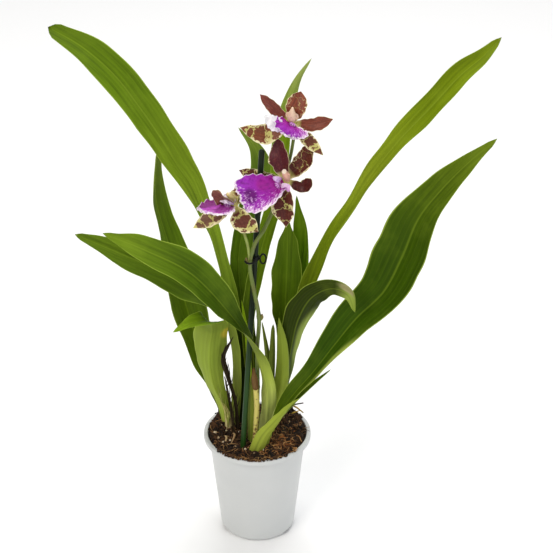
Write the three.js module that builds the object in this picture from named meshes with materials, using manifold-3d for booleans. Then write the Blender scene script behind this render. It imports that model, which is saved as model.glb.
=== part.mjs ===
// A zygopetalum orchid in its nursery pot: two leafy shoots, one staked flower stem and three open blooms.
// Millimetres, +Z up, +X to the plant's right. The origin is the centre of the pot's base, on the surface
// that it stands on.

import * as THREE from "three";
import { mergeVertices } from "three/addons/utils/BufferGeometryUtils.js";
import Module from "manifold-3d";

const wasm = await Module();
wasm.setup();

// ---------------------------------------------------------------- pot, mix and stake sizes

const CLEAR = 0.35; // gap left round every piece that stands in or against another
const LEAF_THICK = 0.8;
const PETAL_THICK = 0.9;
const TIP_HALF = 0.5; // least half width of a blade, at its tip
const FOLD_CURVE = 1.25; // 1 folds a blade like paper, and more rounds its keel
const GOLDEN_ANGLE = 2.4;

const POT = {
  height: 124.5,
  baseRadius: 42, // outside, at the top of the rounded foot
  footRound: 6,
  footSteps: 4,
  shoulderRadius: 54, // outside, just under the rim
  rimRadius: 60,
  rimHeight: 5.5,
  rimRound: 1.2,
  mouthRadius: 55.5,
  wall: 1.3,
  floor: 2,
  sides: 36,
  drains: 3,
  drainTurn: -35, // degrees from +X to the first drain notch
  drainSize: [4, 11, 4],
};

const MIX = {
  level: 123.5, // top of the potting mix at the front
  gap: 0.5, // between the mix and the pot's wall
  edgeDrop: 2, // how far the mix falls away at the wall
  rings: 3,
  sides: 20,
  heaps: [
    // x, y, height and spread of each low heap of bark
    [-33, 32, 10, 15],
    [34, 28, 8, 15],
    [0, 4, 5, 22],
  ],
  chips: 24,
  chipSize: [11, 7, 4],
  chipReach: 44,
  chipLean: 0.9,
  chipRise: 0.4,
  seed: 11,
  twigs: [
    // dry roots and stalks that stand out of the mix at the back
    [[20, 27, 108], [36, 27, 139], [48, 27, 152]],
    [[26, 33, 110], [38, 28, 139], [52, 27, 144]],
    [[36, 28, 142], [44, 30, 136], [52, 31, 128]],
    [[-20, 36, 110], [-24, 38, 126], [-33, 37, 134]],
  ],
  twigRadius: 1,
};

const STAKE = { foot: [-21.4, -32, 30], top: [6.9, -32, 491], radius: 3 };

const CLIP = {
  centre: [0, -32, 366],
  gripRadius: 4.6,
  gripHeight: 5,
  stemRing: { centre: [-6, -40, 366], radius: 4.8, wire: 1 },
  loop: { centre: [7.6, -33, 365], radius: 3.2, halfHeight: 5.6, wire: 0.9, tipped: 90 },
  wireSides: 5,
  ringSteps: 12,
};

// ---------------------------------------------------------------- leaves
// spine: midline from foot to tip. half: half widths at equal steps. face: where the upper face looks,
// as [share of the length, x, y, z]. fold: degrees that each half lifts, at foot and tip.
// wave: ripple height at the margin, ripples along the leaf, and how far the second margin lags.

const LEAVES = [
  {
    name: "leaf_far_left",
    color: "#71901f",
    spine: [
      [-16, 13.5, 104], [-19, 14, 213], [-27, 13, 272], [-47, 13, 373], [-58, 12, 403],
      [-68, 11, 430], [-81, 10, 452], [-93, 10, 475], [-106, 11, 498], [-120, 12, 520],
      [-134, 15, 540], [-149, 20, 556], [-177, 32, 576], [-211, 48, 590],
    ],
    half: [7, 9.5, 9.5, 9.5, 11, 16, 19, 18, 8],
    face: [[0, 0.4, -1, 0.2], [0.55, 0.8, -0.6, 0.3], [0.75, 0.3, -0.8, 0.5], [1, 0.3, -0.7, 0.6]],
    fold: [36, 12],
    wave: [1.5, 3, 0.3],
  },
  {
    name: "leaf_left_upright",
    color: "#4f7420",
    spine: [
      [-33, 22, 104], [-46, 26, 162], [-60, 32, 198], [-77, 44, 256], [-94.5, 56, 326],
      [-109, 67, 385], [-107, 78, 434],
    ],
    half: [5, 8, 15, 20, 22.5, 20.5, 17, 14.5, 3.5],
    face: [[0, 0.4, -0.9, 0.2], [0.5, 0.4, -0.9, 0.2], [0.75, 0.9, -0.5, 0.1], [1, 0.9, -0.4, 0.1]],
    fold: [40, 15],
    wave: [1.2, 2.5, 0.4],
  },
  {
    name: "leaf_left_arch_rear",
    color: "#4d7223",
    spine: [
      [-26, 4, 104], [-25, 4, 190], [-27, 5, 236], [-37, 0, 277], [-86, -24, 337], [-137, -44, 376],
      [-184, -55, 406],
    ],
    half: [5, 7, 9, 12, 19, 23, 22, 15, 3],
    face: [[0, 0.2, 1, 0], [0.45, 0.8, 0.1, 0.5], [0.65, 0.2, -0.6, 0.8], [1, 0.1, -0.6, 0.8]],
    fold: [40, 10],
    wave: [1, 2.5, 0.4],
  },
  {
    name: "leaf_left_arch_front",
    color: "#5d8026",
    spine: [
      [5, -19, 104], [11, -23, 162], [11, -32, 208], [-4, -48, 268], [-25, -56, 309], [-67, -66, 367],
      [-111, -74, 398], [-153, -80, 421],
    ],
    half: [9.5, 10, 10, 9.5, 8.5, 10, 16, 20, 19, 13, 2],
    face: [
      [0, 0, 1, 0], [0.35, 0.5, 0.8, 0.2], [0.46, 0.9, 0, 0.4], [0.6, 0.2, -0.6, 0.8],
      [1, 0, -0.6, 0.8],
    ],
    fold: [38, 8],
    wave: [1, 3, 0.35],
    stations: 20,
  },
  {
    name: "leaf_left_folded",
    color: "#7f9a4c",
    spine: [
      [-33, 8, 104], [-39, 8, 154], [-48, 5, 182], [-52, -1, 213], [-51, -8, 243], [-48, -16, 271],
      [-52, -27, 286], [-68, -38, 290], [-88, -46, 283],
    ],
    half: [5, 6.5, 8.5, 12, 15, 18, 20, 16, 9, 1.5],
    face: [
      [0, 0.2, 1, 0], [0.6, 0.1, 1, 0.2], [0.7, 0, 0.5, 0.9], [0.8, -0.1, -0.2, 1],
      [1, -0.2, -0.4, 0.9],
    ],
    fold: [38, 12],
    wave: [1, 2, 0.5],
  },
  {
    name: "leaf_back_left",
    color: "#3f6a1e",
    spine: [
      [-6, 24, 104], [-8, 24, 200], [-17, 27, 281], [-19, 30, 335], [-7, 38, 391], [3, 44, 424],
      [0, 52, 449], [-19, 60, 472],
    ],
    half: [5, 7, 9, 12, 13, 14, 15, 12, 1],
    face: [[0, 0.2, -1, 0.1], [1, 0.3, -0.9, 0.3]],
    fold: [30, 25],
    wave: [1, 2, 0.5],
  },
  {
    name: "leaf_back_centre",
    color: "#5b8a22",
    spine: [
      [-1, 9, 104], [-8, 8, 202], [-9, 8, 267], [4, 14, 343], [21, 28, 408], [30, 42, 483],
      [42, 54, 525], [58, 60, 551],
    ],
    half: [4, 5, 6, 8, 9, 9, 10, 8, 1],
    face: [[0, 0.2, -1, 0.1], [1, -0.4, -0.9, 0.3]],
    fold: [35, 15],
    wave: [0.8, 3, 0.5],
  },
  {
    name: "leaf_mid_right_front",
    color: "#5a8220",
    spine: [
      [17, 10, 104], [25, 15, 174], [30, 17.5, 229], [31, 19, 273], [33, 21, 333], [34, 24, 383],
    ],
    half: [5, 5.5, 6, 6, 6.5, 9, 14, 17, 16, 10, 1],
    face: [[0, 0, -1, 0.1], [1, 0.1, -1, 0.2]],
    fold: [20, 12],
    wave: [1, 2, 0.5],
  },
  {
    name: "leaf_mid_right_rear",
    color: "#3d6a18",
    spine: [[21, 17, 104], [30, 23, 179], [35, 27, 242], [43, 31, 299], [48, 36, 355], [43, 43, 400]],
    half: [5, 6, 7, 8, 10, 12, 12, 9, 1],
    face: [[0, 0, -1, 0.1], [1, -0.4, -0.9, 0.2]],
    fold: [20, 15],
    wave: [0.8, 2, 0.5],
  },
  {
    name: "leaf_right_tall",
    color: "#6f9014",
    spine: [
      [13, 3, 104], [25, 4, 164], [33, 5, 210], [41, 5, 248], [67, 7, 331], [81, 9, 369],
      [101, 12, 404], [117, 15, 432], [147, 20, 474], [178, 26, 508], [210, 34, 543], [233, 45, 559],
      [253, 60, 574],
    ],
    half: [5, 6.5, 9, 12.5, 13.5, 9, 8, 11, 14, 12, 3],
    face: [
      [0, -0.3, 1, 0.2], [0.2, -0.7, 0.4, 0.2], [0.4, -0.8, -0.5, 0.4], [0.6, -0.6, -0.8, 0.3],
      [1, -0.3, -0.8, 0.6],
    ],
    fold: [38, 20],
    wave: [1.2, 3.5, 0.4],
    stations: 20,
  },
  {
    name: "leaf_right_curled",
    color: "#44621a",
    spine: [
      [13, -4, 104], [22, -5, 164], [31, -7, 199], [37, -11, 241], [45, -18, 283], [60, -30, 318],
      [81, -41, 334], [97, -46, 329], [104, -49, 309],
    ],
    half: [5, 6, 7, 9.5, 12, 14.5, 17, 13, 8.5, 1.5],
    face: [
      [0, 0, 1, 0.1], [0.45, -0.4, 0.9, 0.1], [0.6, -0.2, 0.95, -0.2], [0.85, 0.1, 0.95, 0],
      [1, -0.4, 0.8, 0.2],
    ],
    fold: [38, 8],
    wave: [0.8, 2, 0.5],
  },
  {
    name: "leaf_right_broad",
    color: "#46691a",
    spine: [
      [7, -28, 104], [15, -29.2, 142], [26.5, -30.6, 172], [42, -28.8, 196], [59, -26, 217],
      [83, -25, 253], [106, -25, 287], [134.5, -26, 321], [152.5, -30, 366], [167, -38, 415],
      [187, -46, 451], [212, -51, 484], [240, -55, 514],
    ],
    half: [6, 7.5, 11, 14.5, 20.5, 26.5, 31, 28.5, 20.5, 10.5, 2],
    face: [
      [0, -0.2, 0.9, 0.3], [0.1, -0.6, 0.2, 0.6], [0.2, -0.5, -0.5, 0.6], [0.6, -0.4, -0.7, 0.6],
      [1, -0.3, -0.7, 0.6],
    ],
    fold: [30, 8],
    wave: [1.6, 3.5, 0.35],
    stations: 20,
  },
  {
    name: "leaf_right_small",
    color: "#6d8f2c",
    spine: [
      [0, -35.4, 110], [10, -36.2, 138], [30, -36.2, 172], [60.5, -31.5, 207], [80.5, -28, 225],
    ],
    half: [2.3, 2.6, 2.8, 3.4, 3.2, 0.6],
    face: [[0, -0.5, 0.6, 0.6], [0.5, -0.5, 0, 0.8], [1, -0.4, -0.5, 0.8]],
    fold: [20, 20],
    stations: 10,
    strips: 2,
  },
  {
    name: "sheath_right",
    color: "#9fb24a",
    spine: [
      [-5, -39, 108], [8, -43, 146], [20, -45, 165.5], [30, -45, 180.5], [39, -43.3, 190.6],
      [47, -41.5, 196.7],
    ],
    half: [8.5, 9.5, 9.5, 7.5, 4.5, 1],
    face: [[0, -0.1, 0.95, 0.3], [1, -0.3, 0.8, 0.5]],
    fold: [25, 25],
    stations: 10,
  },
  {
    name: "leaf_centre_pale",
    color: "#93a84d",
    spine: [
      [10, -10, 104], [13, -12, 140], [19, -12.5, 160], [25, -14, 187], [28, -16, 214], [28, -19, 245],
      [24, -23, 288],
    ],
    half: [7.5, 8.5, 9, 8.5, 7.5, 5.5, 1],
    face: [[0, 0, 1, 0.1], [1, 0, 1, 0.2]],
    fold: [30, 20],
    stations: 12,
  },
  {
    name: "leaf_centre_short",
    color: "#3f5c15",
    spine: [[6, -5.5, 104], [13, -7, 172], [16, -8, 210], [18, -8, 270]],
    half: [3.5, 4.5, 5, 4.5, 3.5, 2],
    face: [[0, 0, 1, 0.1], [1, 0, 1, 0.1]],
    fold: [25, 25],
    stations: 8,
    strips: 2,
  },
  {
    name: "leaf_centre_dark",
    color: "#33490f",
    spine: [[3, 0, 104], [12, 1, 179], [12, 1, 219], [6, -1, 269]],
    half: [3, 3.5, 3.5, 3, 0.8],
    face: [[0, 0, 1, 0.1], [1, 0, 1, 0.1]],
    fold: [25, 25],
    stations: 8,
    strips: 2,
  },
  {
    name: "leaf_left_thin",
    color: "#8fb019",
    spine: [[-6, 2, 104], [-8, 3, 177], [-10, 4, 242], [-16, 4, 293]],
    half: [3, 3, 3, 2.8, 0.8],
    face: [[0, 0, -1, 0.1], [1, 0, -1, 0.1]],
    fold: [25, 25],
    stations: 8,
    strips: 2,
  },
  {
    name: "sheath_left_margin",
    color: "#7f8c3d",
    spine: [[-7, -25, 108], [-7, -26, 156], [-6, -27, 191], [-5, -28, 217]],
    half: [4.5, 4.5, 4, 1.5],
    face: [[0, 0.3, 1, 0], [1, 0.3, 1, 0]],
    fold: [30, 25],
    stations: 8,
    strips: 2,
  },
  {
    name: "dry_sheath_long",
    color: "#2c2013",
    spine: [[-21, -3, 108], [-24, -5, 166], [-32, -8, 204], [-36, -12, 230], [-25, -14, 258]],
    half: [2, 1.8, 1.7, 2.4, 0.8],
    face: [[0, 0, -1, 0.1], [1, 0.3, -1, 0.2]],
    fold: [30, -20],
    wave: [0.8, 3, 0.3],
    stations: 12,
    strips: 2,
  },
  {
    name: "dry_sheath_short",
    color: "#3a2a18",
    spine: [[-26, -8, 110], [-28, -10, 154], [-32, -13, 185], [-35, -16, 208]],
    half: [2, 1.8, 1.6, 0.8],
    face: [[0, 0.2, -1, 0.1], [1, 0.2, -1, 0.1]],
    fold: [30, -10],
    stations: 8,
    strips: 2,
  },
  {
    name: "dry_sheath_tan",
    color: "#a58b52",
    spine: [[-32, 0, 110], [-34, 1, 147], [-41, 0, 168]],
    half: [6, 5.5, 3.5, 1],
    face: [[0, 0.2, 1, 0.1], [1, 0.2, 1, 0.1]],
    fold: [40, 20],
    stations: 8,
  },
];

// An old leafless cane, and the dry brown sheath that is left on its top.
const CANE = {
  radius: 3,
  route: [[-3, -30, 104], [-1, -30.5, 150], [0, -31, 180], [-1, -32, 202]],
  sheath: [[-1, -32, 203], [-2, -33, 214], [-3, -34, 230]],
  sheathRadii: [3.3, 3.2, 1],
};

// ---------------------------------------------------------------- flower stem and blooms

const STEM = {
  radii: [2.4, 2.3, 2.2, 2, 1.7],
  route: [
    [-1, -7, 104],
    [0, -11, 150],
    [1, -19, 200],
    [1, -33, 255],
    [3, -39, 298],
    [-2, -40, 331],
    [-6, -40, 362],
    [-1, -41, 386],
    [9, -38, 403],
    [18, -28, 420],
    [27, -21, 443],
    [36, -19, 478],
    [40, -22, 507],
  ],
  pedicels: [
    [[-6, -40, 364], [-8, -41, 385], [-15, -41, 411], [-21, -38, 430]],
    [[20, -25, 424], [27, -27, 442], [31, -34, 457]],
    [[40, -22, 500], [40, -25, 511], [37, -30, 519]],
  ],
  pedicelRadii: [1.6, 1.5, 1.5],
  bract: { centre: [5, -40.5, 298], size: [1.6, 1.6, 3.5] },
};

// Each bloom: where its centre is, the way it looks, its five tepals from that centre, its lip and its
// column.
// bow: how far a tepal's middle stands forward of the straight line to its tip, lift: how far above it,
// and swing: how far to the right of it.
const BLOOMS = [
  {
    name: "bloom_low",
    centre: [-21, -40, 432],
    looks: [-0.4, -0.85, 0.2],
    tepals: [
      { tip: [-42, -62, 460], half: [2.5, 7, 8.5, 7, 3], bow: 3 },
      { tip: [-63, -60, 416], half: [2.5, 7, 9, 7, 1], bow: -3 },
      { tip: [3, -52, 407], half: [2.5, 10.5, 13.5, 9.5, 1], bow: 3, swing: -2 },
      { tip: [-17, -26, 449], half: [2.5, 4.5, 5, 4, 1], bow: 2 },
      { tip: [-2, -26, 446], half: [2.5, 5, 6, 5, 1], bow: 2 },
    ],
    lip: {
      spine: [[-24, -43, 433], [-40, -59, 437], [-56, -74, 445]],
      half: [5, 14, 17.5, 16.5, 11, 5],
      face: [0.2, 0.12, 1],
    },
    column: [[-21, -40, 434], [-24, -48, 446], [-28, -55, 452]],
    columnRadii: [2.6, 2.6, 3.2, 3.4, 1.6],
  },
  {
    name: "bloom_mid",
    centre: [31, -34, 457],
    looks: [-0.5, -0.8, 0.3],
    tepals: [
      { tip: [22.5, -22, 499], half: [3, 10, 12.5, 9.5, 1], bow: 3, swing: 1 },
      { tip: [57, -30, 497], half: [3, 9, 10.5, 9, 2], bow: -3, swing: 4 },
      { tip: [57, -44, 463], half: [2.5, 5, 6.5, 6.5, 3.5], bow: -4, lift: -8, swing: 3 },
      { tip: [31, -50, 411], half: [3, 11, 15, 10, 1], bow: 4, swing: 1 },
      { tip: [-17, -10, 456.5], half: [3, 6.5, 8, 6.5, 1], bow: 0, lift: -2.5 },
    ],
    lip: {
      spine: [[29, -38, 456], [6, -54, 454.5], [-16.5, -61, 452.5]],
      half: [6, 11.5, 16, 19.5, 20, 16.5],
      face: [-0.1, -0.8, 0.55],
    },
    column: [[33, -36, 458], [31, -43, 468], [28.5, -47, 474]],
    columnRadii: [2.6, 3.4, 3.8, 3.2, 1.8],
  },
  {
    name: "bloom_top",
    centre: [37, -30, 519],
    looks: [-0.15, -0.95, 0.2],
    tepals: [
      { tip: [5, -18, 545], half: [2.5, 5, 6.5, 5.5, 1], bow: 2 },
      { tip: [46, -22, 550], half: [2.5, 8.5, 11, 9.5, 2], bow: 3 },
      { tip: [78, -34, 525], half: [2.5, 6, 7.5, 6.5, 1], bow: 1, lift: -3 },
      { tip: [-15, -34, 516], half: [2.5, 8.5, 11.5, 8, 1], bow: -3, lift: -9 },
      { tip: [68, -46, 491], half: [2.5, 6, 7.5, 5.5, 1], bow: -2 },
    ],
    lip: {
      spine: [[37, -35, 520], [36, -46, 521], [34, -57, 517]],
      half: [4, 12, 17, 18, 15, 8],
      face: [0.4, -0.3, 0.85],
      lobes: [
        {
          spine: [[29, -44, 520], [20, -46, 526], [10, -42, 533]],
          half: [3, 6.5, 7.5, 5.5, 2],
          face: [[0, -0.1, -0.8, 0.55]],
        },
      ],
    },
    column: [[37, -30, 521], [37, -36, 532], [37.5, -40, 541]],
    columnRadii: [2.6, 4.9, 4.2, 2.5, 0.9],
  },
];
const TEPAL = { fold: [30, 12], wave: [1.1, 2.5, 0.5], stations: 6, thick: PETAL_THICK };
const LIP = { fold: [12, -14], wave: [2.2, 0.5, 0], stations: 10, strips: 6, thick: PETAL_THICK };
const CALLUS = { rise: 1.5, size: [5.5, 4.5, 3] };
const CORE_SIZE = [4, 4, 4];

// ---------------------------------------------------------------- small helpers

const vec = (p) => new THREE.Vector3(...p);
const radians = THREE.MathUtils.degToRad;
const mix = THREE.MathUtils.lerp;
const thicker = (radii, grow) => radii.map((radius) => radius + grow);

// A repeatable draw between 0 and 1.
function drawFrom(seed) {
  let state = seed;
  return () => {
    state = (state * 1664525 + 1013904223) % 4294967296;
    return state / 4294967296;
  };
}

// The value at share t of numbers that stand at equal steps, on a smooth curve.
function along(values, t) {
  return new THREE.SplineCurve(values.map((v, i) => new THREE.Vector2(i, v))).getPoint(t).y;
}

// The direction at share t of a list of [share, x, y, z].
function facingAt(stops, t) {
  const next = stops.findIndex((stop) => stop[0] >= t);
  if (next < 1) return vec(stops[0].slice(1)).normalize();
  const [a, b] = [stops[next - 1], stops[next]];
  const share = (t - a[0]) / (b[0] - a[0]);
  return vec(a.slice(1)).lerp(vec(b.slice(1)), share).normalize();
}

// A manifold-3d solid from a closed three.js geometry, and back.
function solid(geometry) {
  const bare = geometry.clone();
  bare.deleteAttribute("normal");
  bare.deleteAttribute("uv");
  const merged = mergeVertices(bare, 1e-4);
  return new wasm.Manifold(
    new wasm.Mesh({
      numProp: 3,
      vertProperties: merged.attributes.position.array,
      triVerts: new Uint32Array(merged.index.array),
    }),
  );
}

function geometryOf(made) {
  const mesh = made.getMesh();
  const geometry = new THREE.BufferGeometry();
  geometry.setAttribute("position", new THREE.BufferAttribute(mesh.vertProperties, 3));
  geometry.setIndex(new THREE.BufferAttribute(mesh.triVerts, 1));
  return geometry;
}

const union = (solids) => solids.reduce((whole, next) => whole.add(next));
const cut = (made, tools) => tools.reduce((rest, tool) => rest.subtract(tool), made);

// The biggest body of a solid, without the loose scraps that a cut can leave.
function mainBody(made) {
  return made.decompose().reduce((big, body) => (body.volume() > big.volume() ? body : big));
}

// ---------------------------------------------------------------- blades, stalks and lumps

// One closed skin over equal rings of points, with its two ends zipped shut.
// A ring runs from side to side over one face and back over the other, so both faces are split alike.
function skin(rings) {
  const count = rings[0].length;
  const last = (rings.length - 1) * count;
  const index = [];
  const quad = (a, b, c, d) => index.push(a, b, c, a, c, d);
  for (let i = 0; i + 1 < rings.length; i++) {
    for (let k = 0; k < count; k++) {
      const a = i * count + k;
      const b = i * count + ((k + 1) % count);
      if (k < count / 2 - 1) quad(a, b, b + count, a + count);
      else quad(b, b + count, a + count, a);
    }
  }
  for (let j = 0; j < count / 2 - 1; j++) {
    const k = count - 1 - j;
    quad(j, k, k - 1, j + 1);
    quad(last + j, last + j + 1, last + k - 1, last + k);
  }
  return new THREE.BufferGeometry().setFromPoints(rings.flat()).setIndex(index);
}

// The upper face of a thin blade along its spine, as rows of points from one margin to the other.
// A blade is folded along its midrib, and its margins ripple. grow widens it and lowers its foot.
function bladeGrid(spec, grow) {
  const curve = new THREE.CatmullRomCurve3(spec.spine.map(vec), false, "centripetal");
  const { stations = 14, strips = 4, fold = [0, 0], wave = [0, 1, 0] } = spec;
  const [height, ripples, lag] = wave;
  const rows = [];
  for (let i = 0; i <= stations; i++) {
    const t = i / stations;
    const ahead = curve.getTangentAt(t);
    const up = facingAt(spec.face, t);
    up.addScaledVector(ahead, -up.dot(ahead)).normalize();
    const side = up.clone().cross(ahead);
    const half = Math.max(along(spec.half, t), TIP_HALF) + grow;
    const lift = radians(mix(fold[0], fold[1], t));
    const row = [];
    for (let j = 0; j <= strips; j++) {
      const across = 1 - (2 * j) / strips;
      const margin = Math.abs(across);
      const phase = ripples * t + (across > 0 ? 0 : lag);
      const ripple = height * margin ** 2 * Math.sin(2 * Math.PI * phase) * Math.min(1, 4 * t);
      const rise = half * margin ** FOLD_CURVE * Math.sin(lift) + ripple;
      const point = curve.getPointAt(t).addScaledVector(side, across * half * Math.cos(lift));
      if (i === 0) point.addScaledVector(ahead, -grow);
      row.push(point.addScaledVector(up, rise));
    }
    rows.push(row);
  }
  return rows;
}

// The normal of rows of points at row i and column j, from its neighbours.
function normalAt(rows, i, j) {
  const [above, below] = [rows[Math.min(i + 1, rows.length - 1)][j], rows[Math.max(i - 1, 0)][j]];
  const [left, right] = [rows[i][Math.max(j - 1, 0)], rows[i][Math.min(j + 1, rows[i].length - 1)]];
  return right.clone().sub(left).cross(above.clone().sub(below)).normalize();
}

// A thin blade: a leaf, a sheath, a petal or a lip. grow thickens it all round, to cut its own slot.
function blade(spec, grow = 0) {
  const rows = bladeGrid(spec, grow);
  const thick = spec.thick ?? LEAF_THICK;
  const rings = rows.map((row, i) => {
    const normals = row.map((_, j) => normalAt(rows, i, j));
    const upper = row.map((p, j) => p.clone().addScaledVector(normals[j], grow));
    const lower = row.map((p, j) => p.clone().addScaledVector(normals[j], -thick - grow));
    return [...upper, ...lower.reverse()];
  });
  return solid(skin(rings));
}

// A round stalk along a route, with its radius at equal steps along it.
function stalk(route, radii, sides, steps) {
  const curve = new THREE.CatmullRomCurve3(route.map(vec), false, "centripetal");
  const frames = curve.computeFrenetFrames(steps, false);
  const rings = [];
  for (let i = 0; i <= steps; i++) {
    const ring = [];
    for (let k = 0; k < sides; k++) {
      const turn = (2 * Math.PI * k) / sides;
      const out = frames.normals[i].clone().multiplyScalar(Math.cos(turn));
      out.addScaledVector(frames.binormals[i], Math.sin(turn)).multiplyScalar(along(radii, i / steps));
      ring.push(curve.getPointAt(i / steps).add(out));
    }
    rings.push(ring);
  }
  return solid(skin(rings));
}

// A rounded lump: a sphere of few faces, stretched and placed.
function lump(centre, size) {
  return solid(new THREE.IcosahedronGeometry(1, 1).scale(...size).translate(...centre));
}

// A profile of [radius, height] turned about +Z.
function turned(profile, sides) {
  const points = profile.map(([r, z]) => new THREE.Vector2(r, z));
  return new THREE.LatheGeometry(points, sides).rotateX(Math.PI / 2);
}

// ---------------------------------------------------------------- pot and potting mix

function pot() {
  const { height, baseRadius, footRound, shoulderRadius, rimRadius, rimHeight, rimRound } = POT;
  const { mouthRadius, wall, floor, drainSize } = POT;
  const under = height - rimHeight;
  const profile = [[0, 0]];
  for (let i = 0; i <= POT.footSteps; i++) {
    const turn = (i / POT.footSteps) * (Math.PI / 2);
    profile.push([baseRadius - footRound * (1 - Math.sin(turn)), footRound * (1 - Math.cos(turn))]);
  }
  profile.push([shoulderRadius, under], [rimRadius, under + rimRound]);
  profile.push([rimRadius, height - rimRound], [rimRadius - rimRound, height]);
  profile.push([mouthRadius + rimRound, height], [mouthRadius, height - rimRound]);
  profile.push([shoulderRadius - wall, under - rimRound], [baseRadius - wall, footRound]);
  profile.push([baseRadius - wall - footRound / 2, floor], [0, floor]);
  const notches = [];
  for (let i = 0; i < POT.drains; i++) {
    const notch = new THREE.BoxGeometry(...drainSize);
    notch.translate(baseRadius - footRound / 2, 0, drainSize[2] * 0.6);
    notches.push(solid(notch.rotateZ(radians(POT.drainTurn + (360 * i) / POT.drains))));
  }
  return cut(solid(turned(profile, POT.sides)), notches);
}

// Height of the potting mix at a place.
function mixTop(x, y) {
  return MIX.heaps.reduce((z, [heapX, heapY, high, spread]) => {
    const away = Math.hypot(x - heapX, y - heapY) / spread;
    return z + high * Math.exp(-(away ** 2) / 2);
  }, MIX.level);
}

function mixBody() {
  const { baseRadius, shoulderRadius, mouthRadius, wall, height, rimHeight, rimRound } = POT;
  const { floor, footRound } = POT;
  const inner = baseRadius - wall - MIX.gap;
  const [neck, neckHeight] = [shoulderRadius - wall - MIX.gap, height - rimHeight - rimRound];
  const edge = MIX.level - MIX.edgeDrop;
  const topRadius = mix(neck, mouthRadius - MIX.gap, (edge - neckHeight) / rimHeight);
  const crown = topRadius - MIX.edgeDrop / 2;
  const profile = [[0, floor + CLEAR], [inner - footRound / 2, floor + CLEAR], [inner, footRound + CLEAR]];
  profile.push([neck, neckHeight], [topRadius, edge]);
  for (let i = 0; i < MIX.rings; i++) profile.push([crown * (1 - i / MIX.rings), MIX.level]);
  profile.push([0, MIX.level]);
  const geometry = turned(profile, MIX.sides);
  const places = geometry.attributes.position;
  for (let i = 0; i < places.count; i++) {
    const onTop = places.getZ(i) > (MIX.level + edge) / 2;
    if (onTop) places.setZ(i, mixTop(places.getX(i), places.getY(i)));
  }
  return solid(geometry);
}

// Bark chips lying on the mix, each half sunk into it, spread evenly by the golden angle.
function barkChips() {
  const draw = drawFrom(MIX.seed);
  const lean = () => MIX.chipLean * (draw() - 0.5);
  const chips = [];
  for (let i = 0; i < MIX.chips; i++) {
    const turn = GOLDEN_ANGLE * i + draw();
    const out = MIX.chipReach * Math.sqrt((i + 0.5) / MIX.chips);
    const [x, y] = [out * Math.cos(turn), out * Math.sin(turn)];
    const scale = mix(0.7, 1.3, draw());
    const chip = new THREE.BoxGeometry(...MIX.chipSize.map((side) => side * scale));
    chip.rotateX(lean()).rotateY(lean()).rotateZ(Math.PI * draw());
    chips.push(solid(chip.translate(x, y, mixTop(x, y) + MIX.chipRise)));
  }
  return chips;
}

const twigs = () => MIX.twigs.map((route) => stalk(route, [MIX.twigRadius, MIX.twigRadius], 5, 4));

// ---------------------------------------------------------------- stake, clip and old cane

function stake(grow = 0) {
  return stalk([STAKE.foot, STAKE.top], thicker([STAKE.radius, STAKE.radius], grow), 12, 1);
}

// A wire ring, stretched to the given half height and then tipped up by the given degrees.
function wireRing({ centre, radius, wire, halfHeight = radius, tipped = 0 }) {
  const ring = new THREE.TorusGeometry(radius, wire, CLIP.wireSides, CLIP.ringSteps);
  return solid(ring.scale(1, halfHeight / radius, 1).rotateX(radians(tipped)).translate(...centre));
}

function clip() {
  const { centre, gripRadius, gripHeight, stemRing, loop } = CLIP;
  const grip = new THREE.CylinderGeometry(gripRadius, gripRadius, gripHeight, 12);
  grip.rotateX(Math.PI / 2).translate(...centre);
  return cut(union([solid(grip), wireRing(loop), wireRing(stemRing)]), [stake(CLEAR), flowerStem(CLEAR)]);
}

function cane(grow = 0) {
  return stalk(CANE.route, thicker([CANE.radius, CANE.radius], grow), 8, 6);
}

// ---------------------------------------------------------------- flower stem and blooms

function flowerStem(grow = 0) {
  const main = stalk(STEM.route, thicker(STEM.radii, grow), 6, 20);
  const pedicels = STEM.pedicels.map((route) => stalk(route, thicker(STEM.pedicelRadii, grow), 6, 5));
  const bract = lump(STEM.bract.centre, thicker(STEM.bract.size, grow));
  return union([main, ...pedicels, bract]);
}

function tepalSpec(bloom, { tip, half, bow, lift = 0, swing = 0 }) {
  const foot = vec(bloom.centre).lerp(vec(tip), 0.05);
  const middle = vec(bloom.centre).lerp(vec(tip), 0.5).addScaledVector(vec(bloom.looks), bow);
  middle.add(new THREE.Vector3(swing, 0, lift));
  return { ...TEPAL, half, spine: [foot.toArray(), middle.toArray(), tip], face: [[0, ...bloom.looks]] };
}

// The tepals with the core that holds them, grown all round by the given gap.
function tepalsOf(bloom, grow = 0) {
  const core = lump(bloom.centre, thicker(CORE_SIZE, grow));
  return union([core, ...bloom.tepals.map((tepal) => blade(tepalSpec(bloom, tepal), grow))]);
}

function columnOf(bloom, grow = 0) {
  return stalk(bloom.column, thicker(bloom.columnRadii, grow), 8, 6);
}

// The lip, with its side lobes and the fleshy lump at its foot.
function lipOf({ lip }) {
  const { spine, half, face, lobes = [] } = lip;
  const sheet = blade({ ...LIP, spine, half, face: [[0, ...face]] });
  const sideLobes = lobes.map((lobe) => blade({ ...LIP, ...lobe }));
  const heart = vec(spine[0]).lerp(vec(spine[1]), 0.25).addScaledVector(vec(face), CALLUS.rise);
  return union([sheet, ...sideLobes, lump(heart.toArray(), CALLUS.size)]);
}

// ---------------------------------------------------------------- the assembled plant

const plant = new THREE.Group();

function addPiece(name, made, color, roughness) {
  const material = new THREE.MeshStandardMaterial({ color, roughness, metalness: 0 });
  const mesh = new THREE.Mesh(geometryOf(made), material);
  mesh.name = name;
  plant.add(mesh);
}

addPiece("pot", pot(), "#c8c9c5", 0.55);
for (const leaf of LEAVES) addPiece(leaf.name, blade(leaf), leaf.color, 0.5);
addPiece("cane", cane(), "#b9ad5c", 0.6);
addPiece("cane_sheath", stalk(CANE.sheath, CANE.sheathRadii, 8, 4), "#7a4a26", 0.8);
addPiece("stake", stake(), "#1f4a3a", 0.45);
addPiece("stake_clip", clip(), "#20241a", 0.5);

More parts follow.
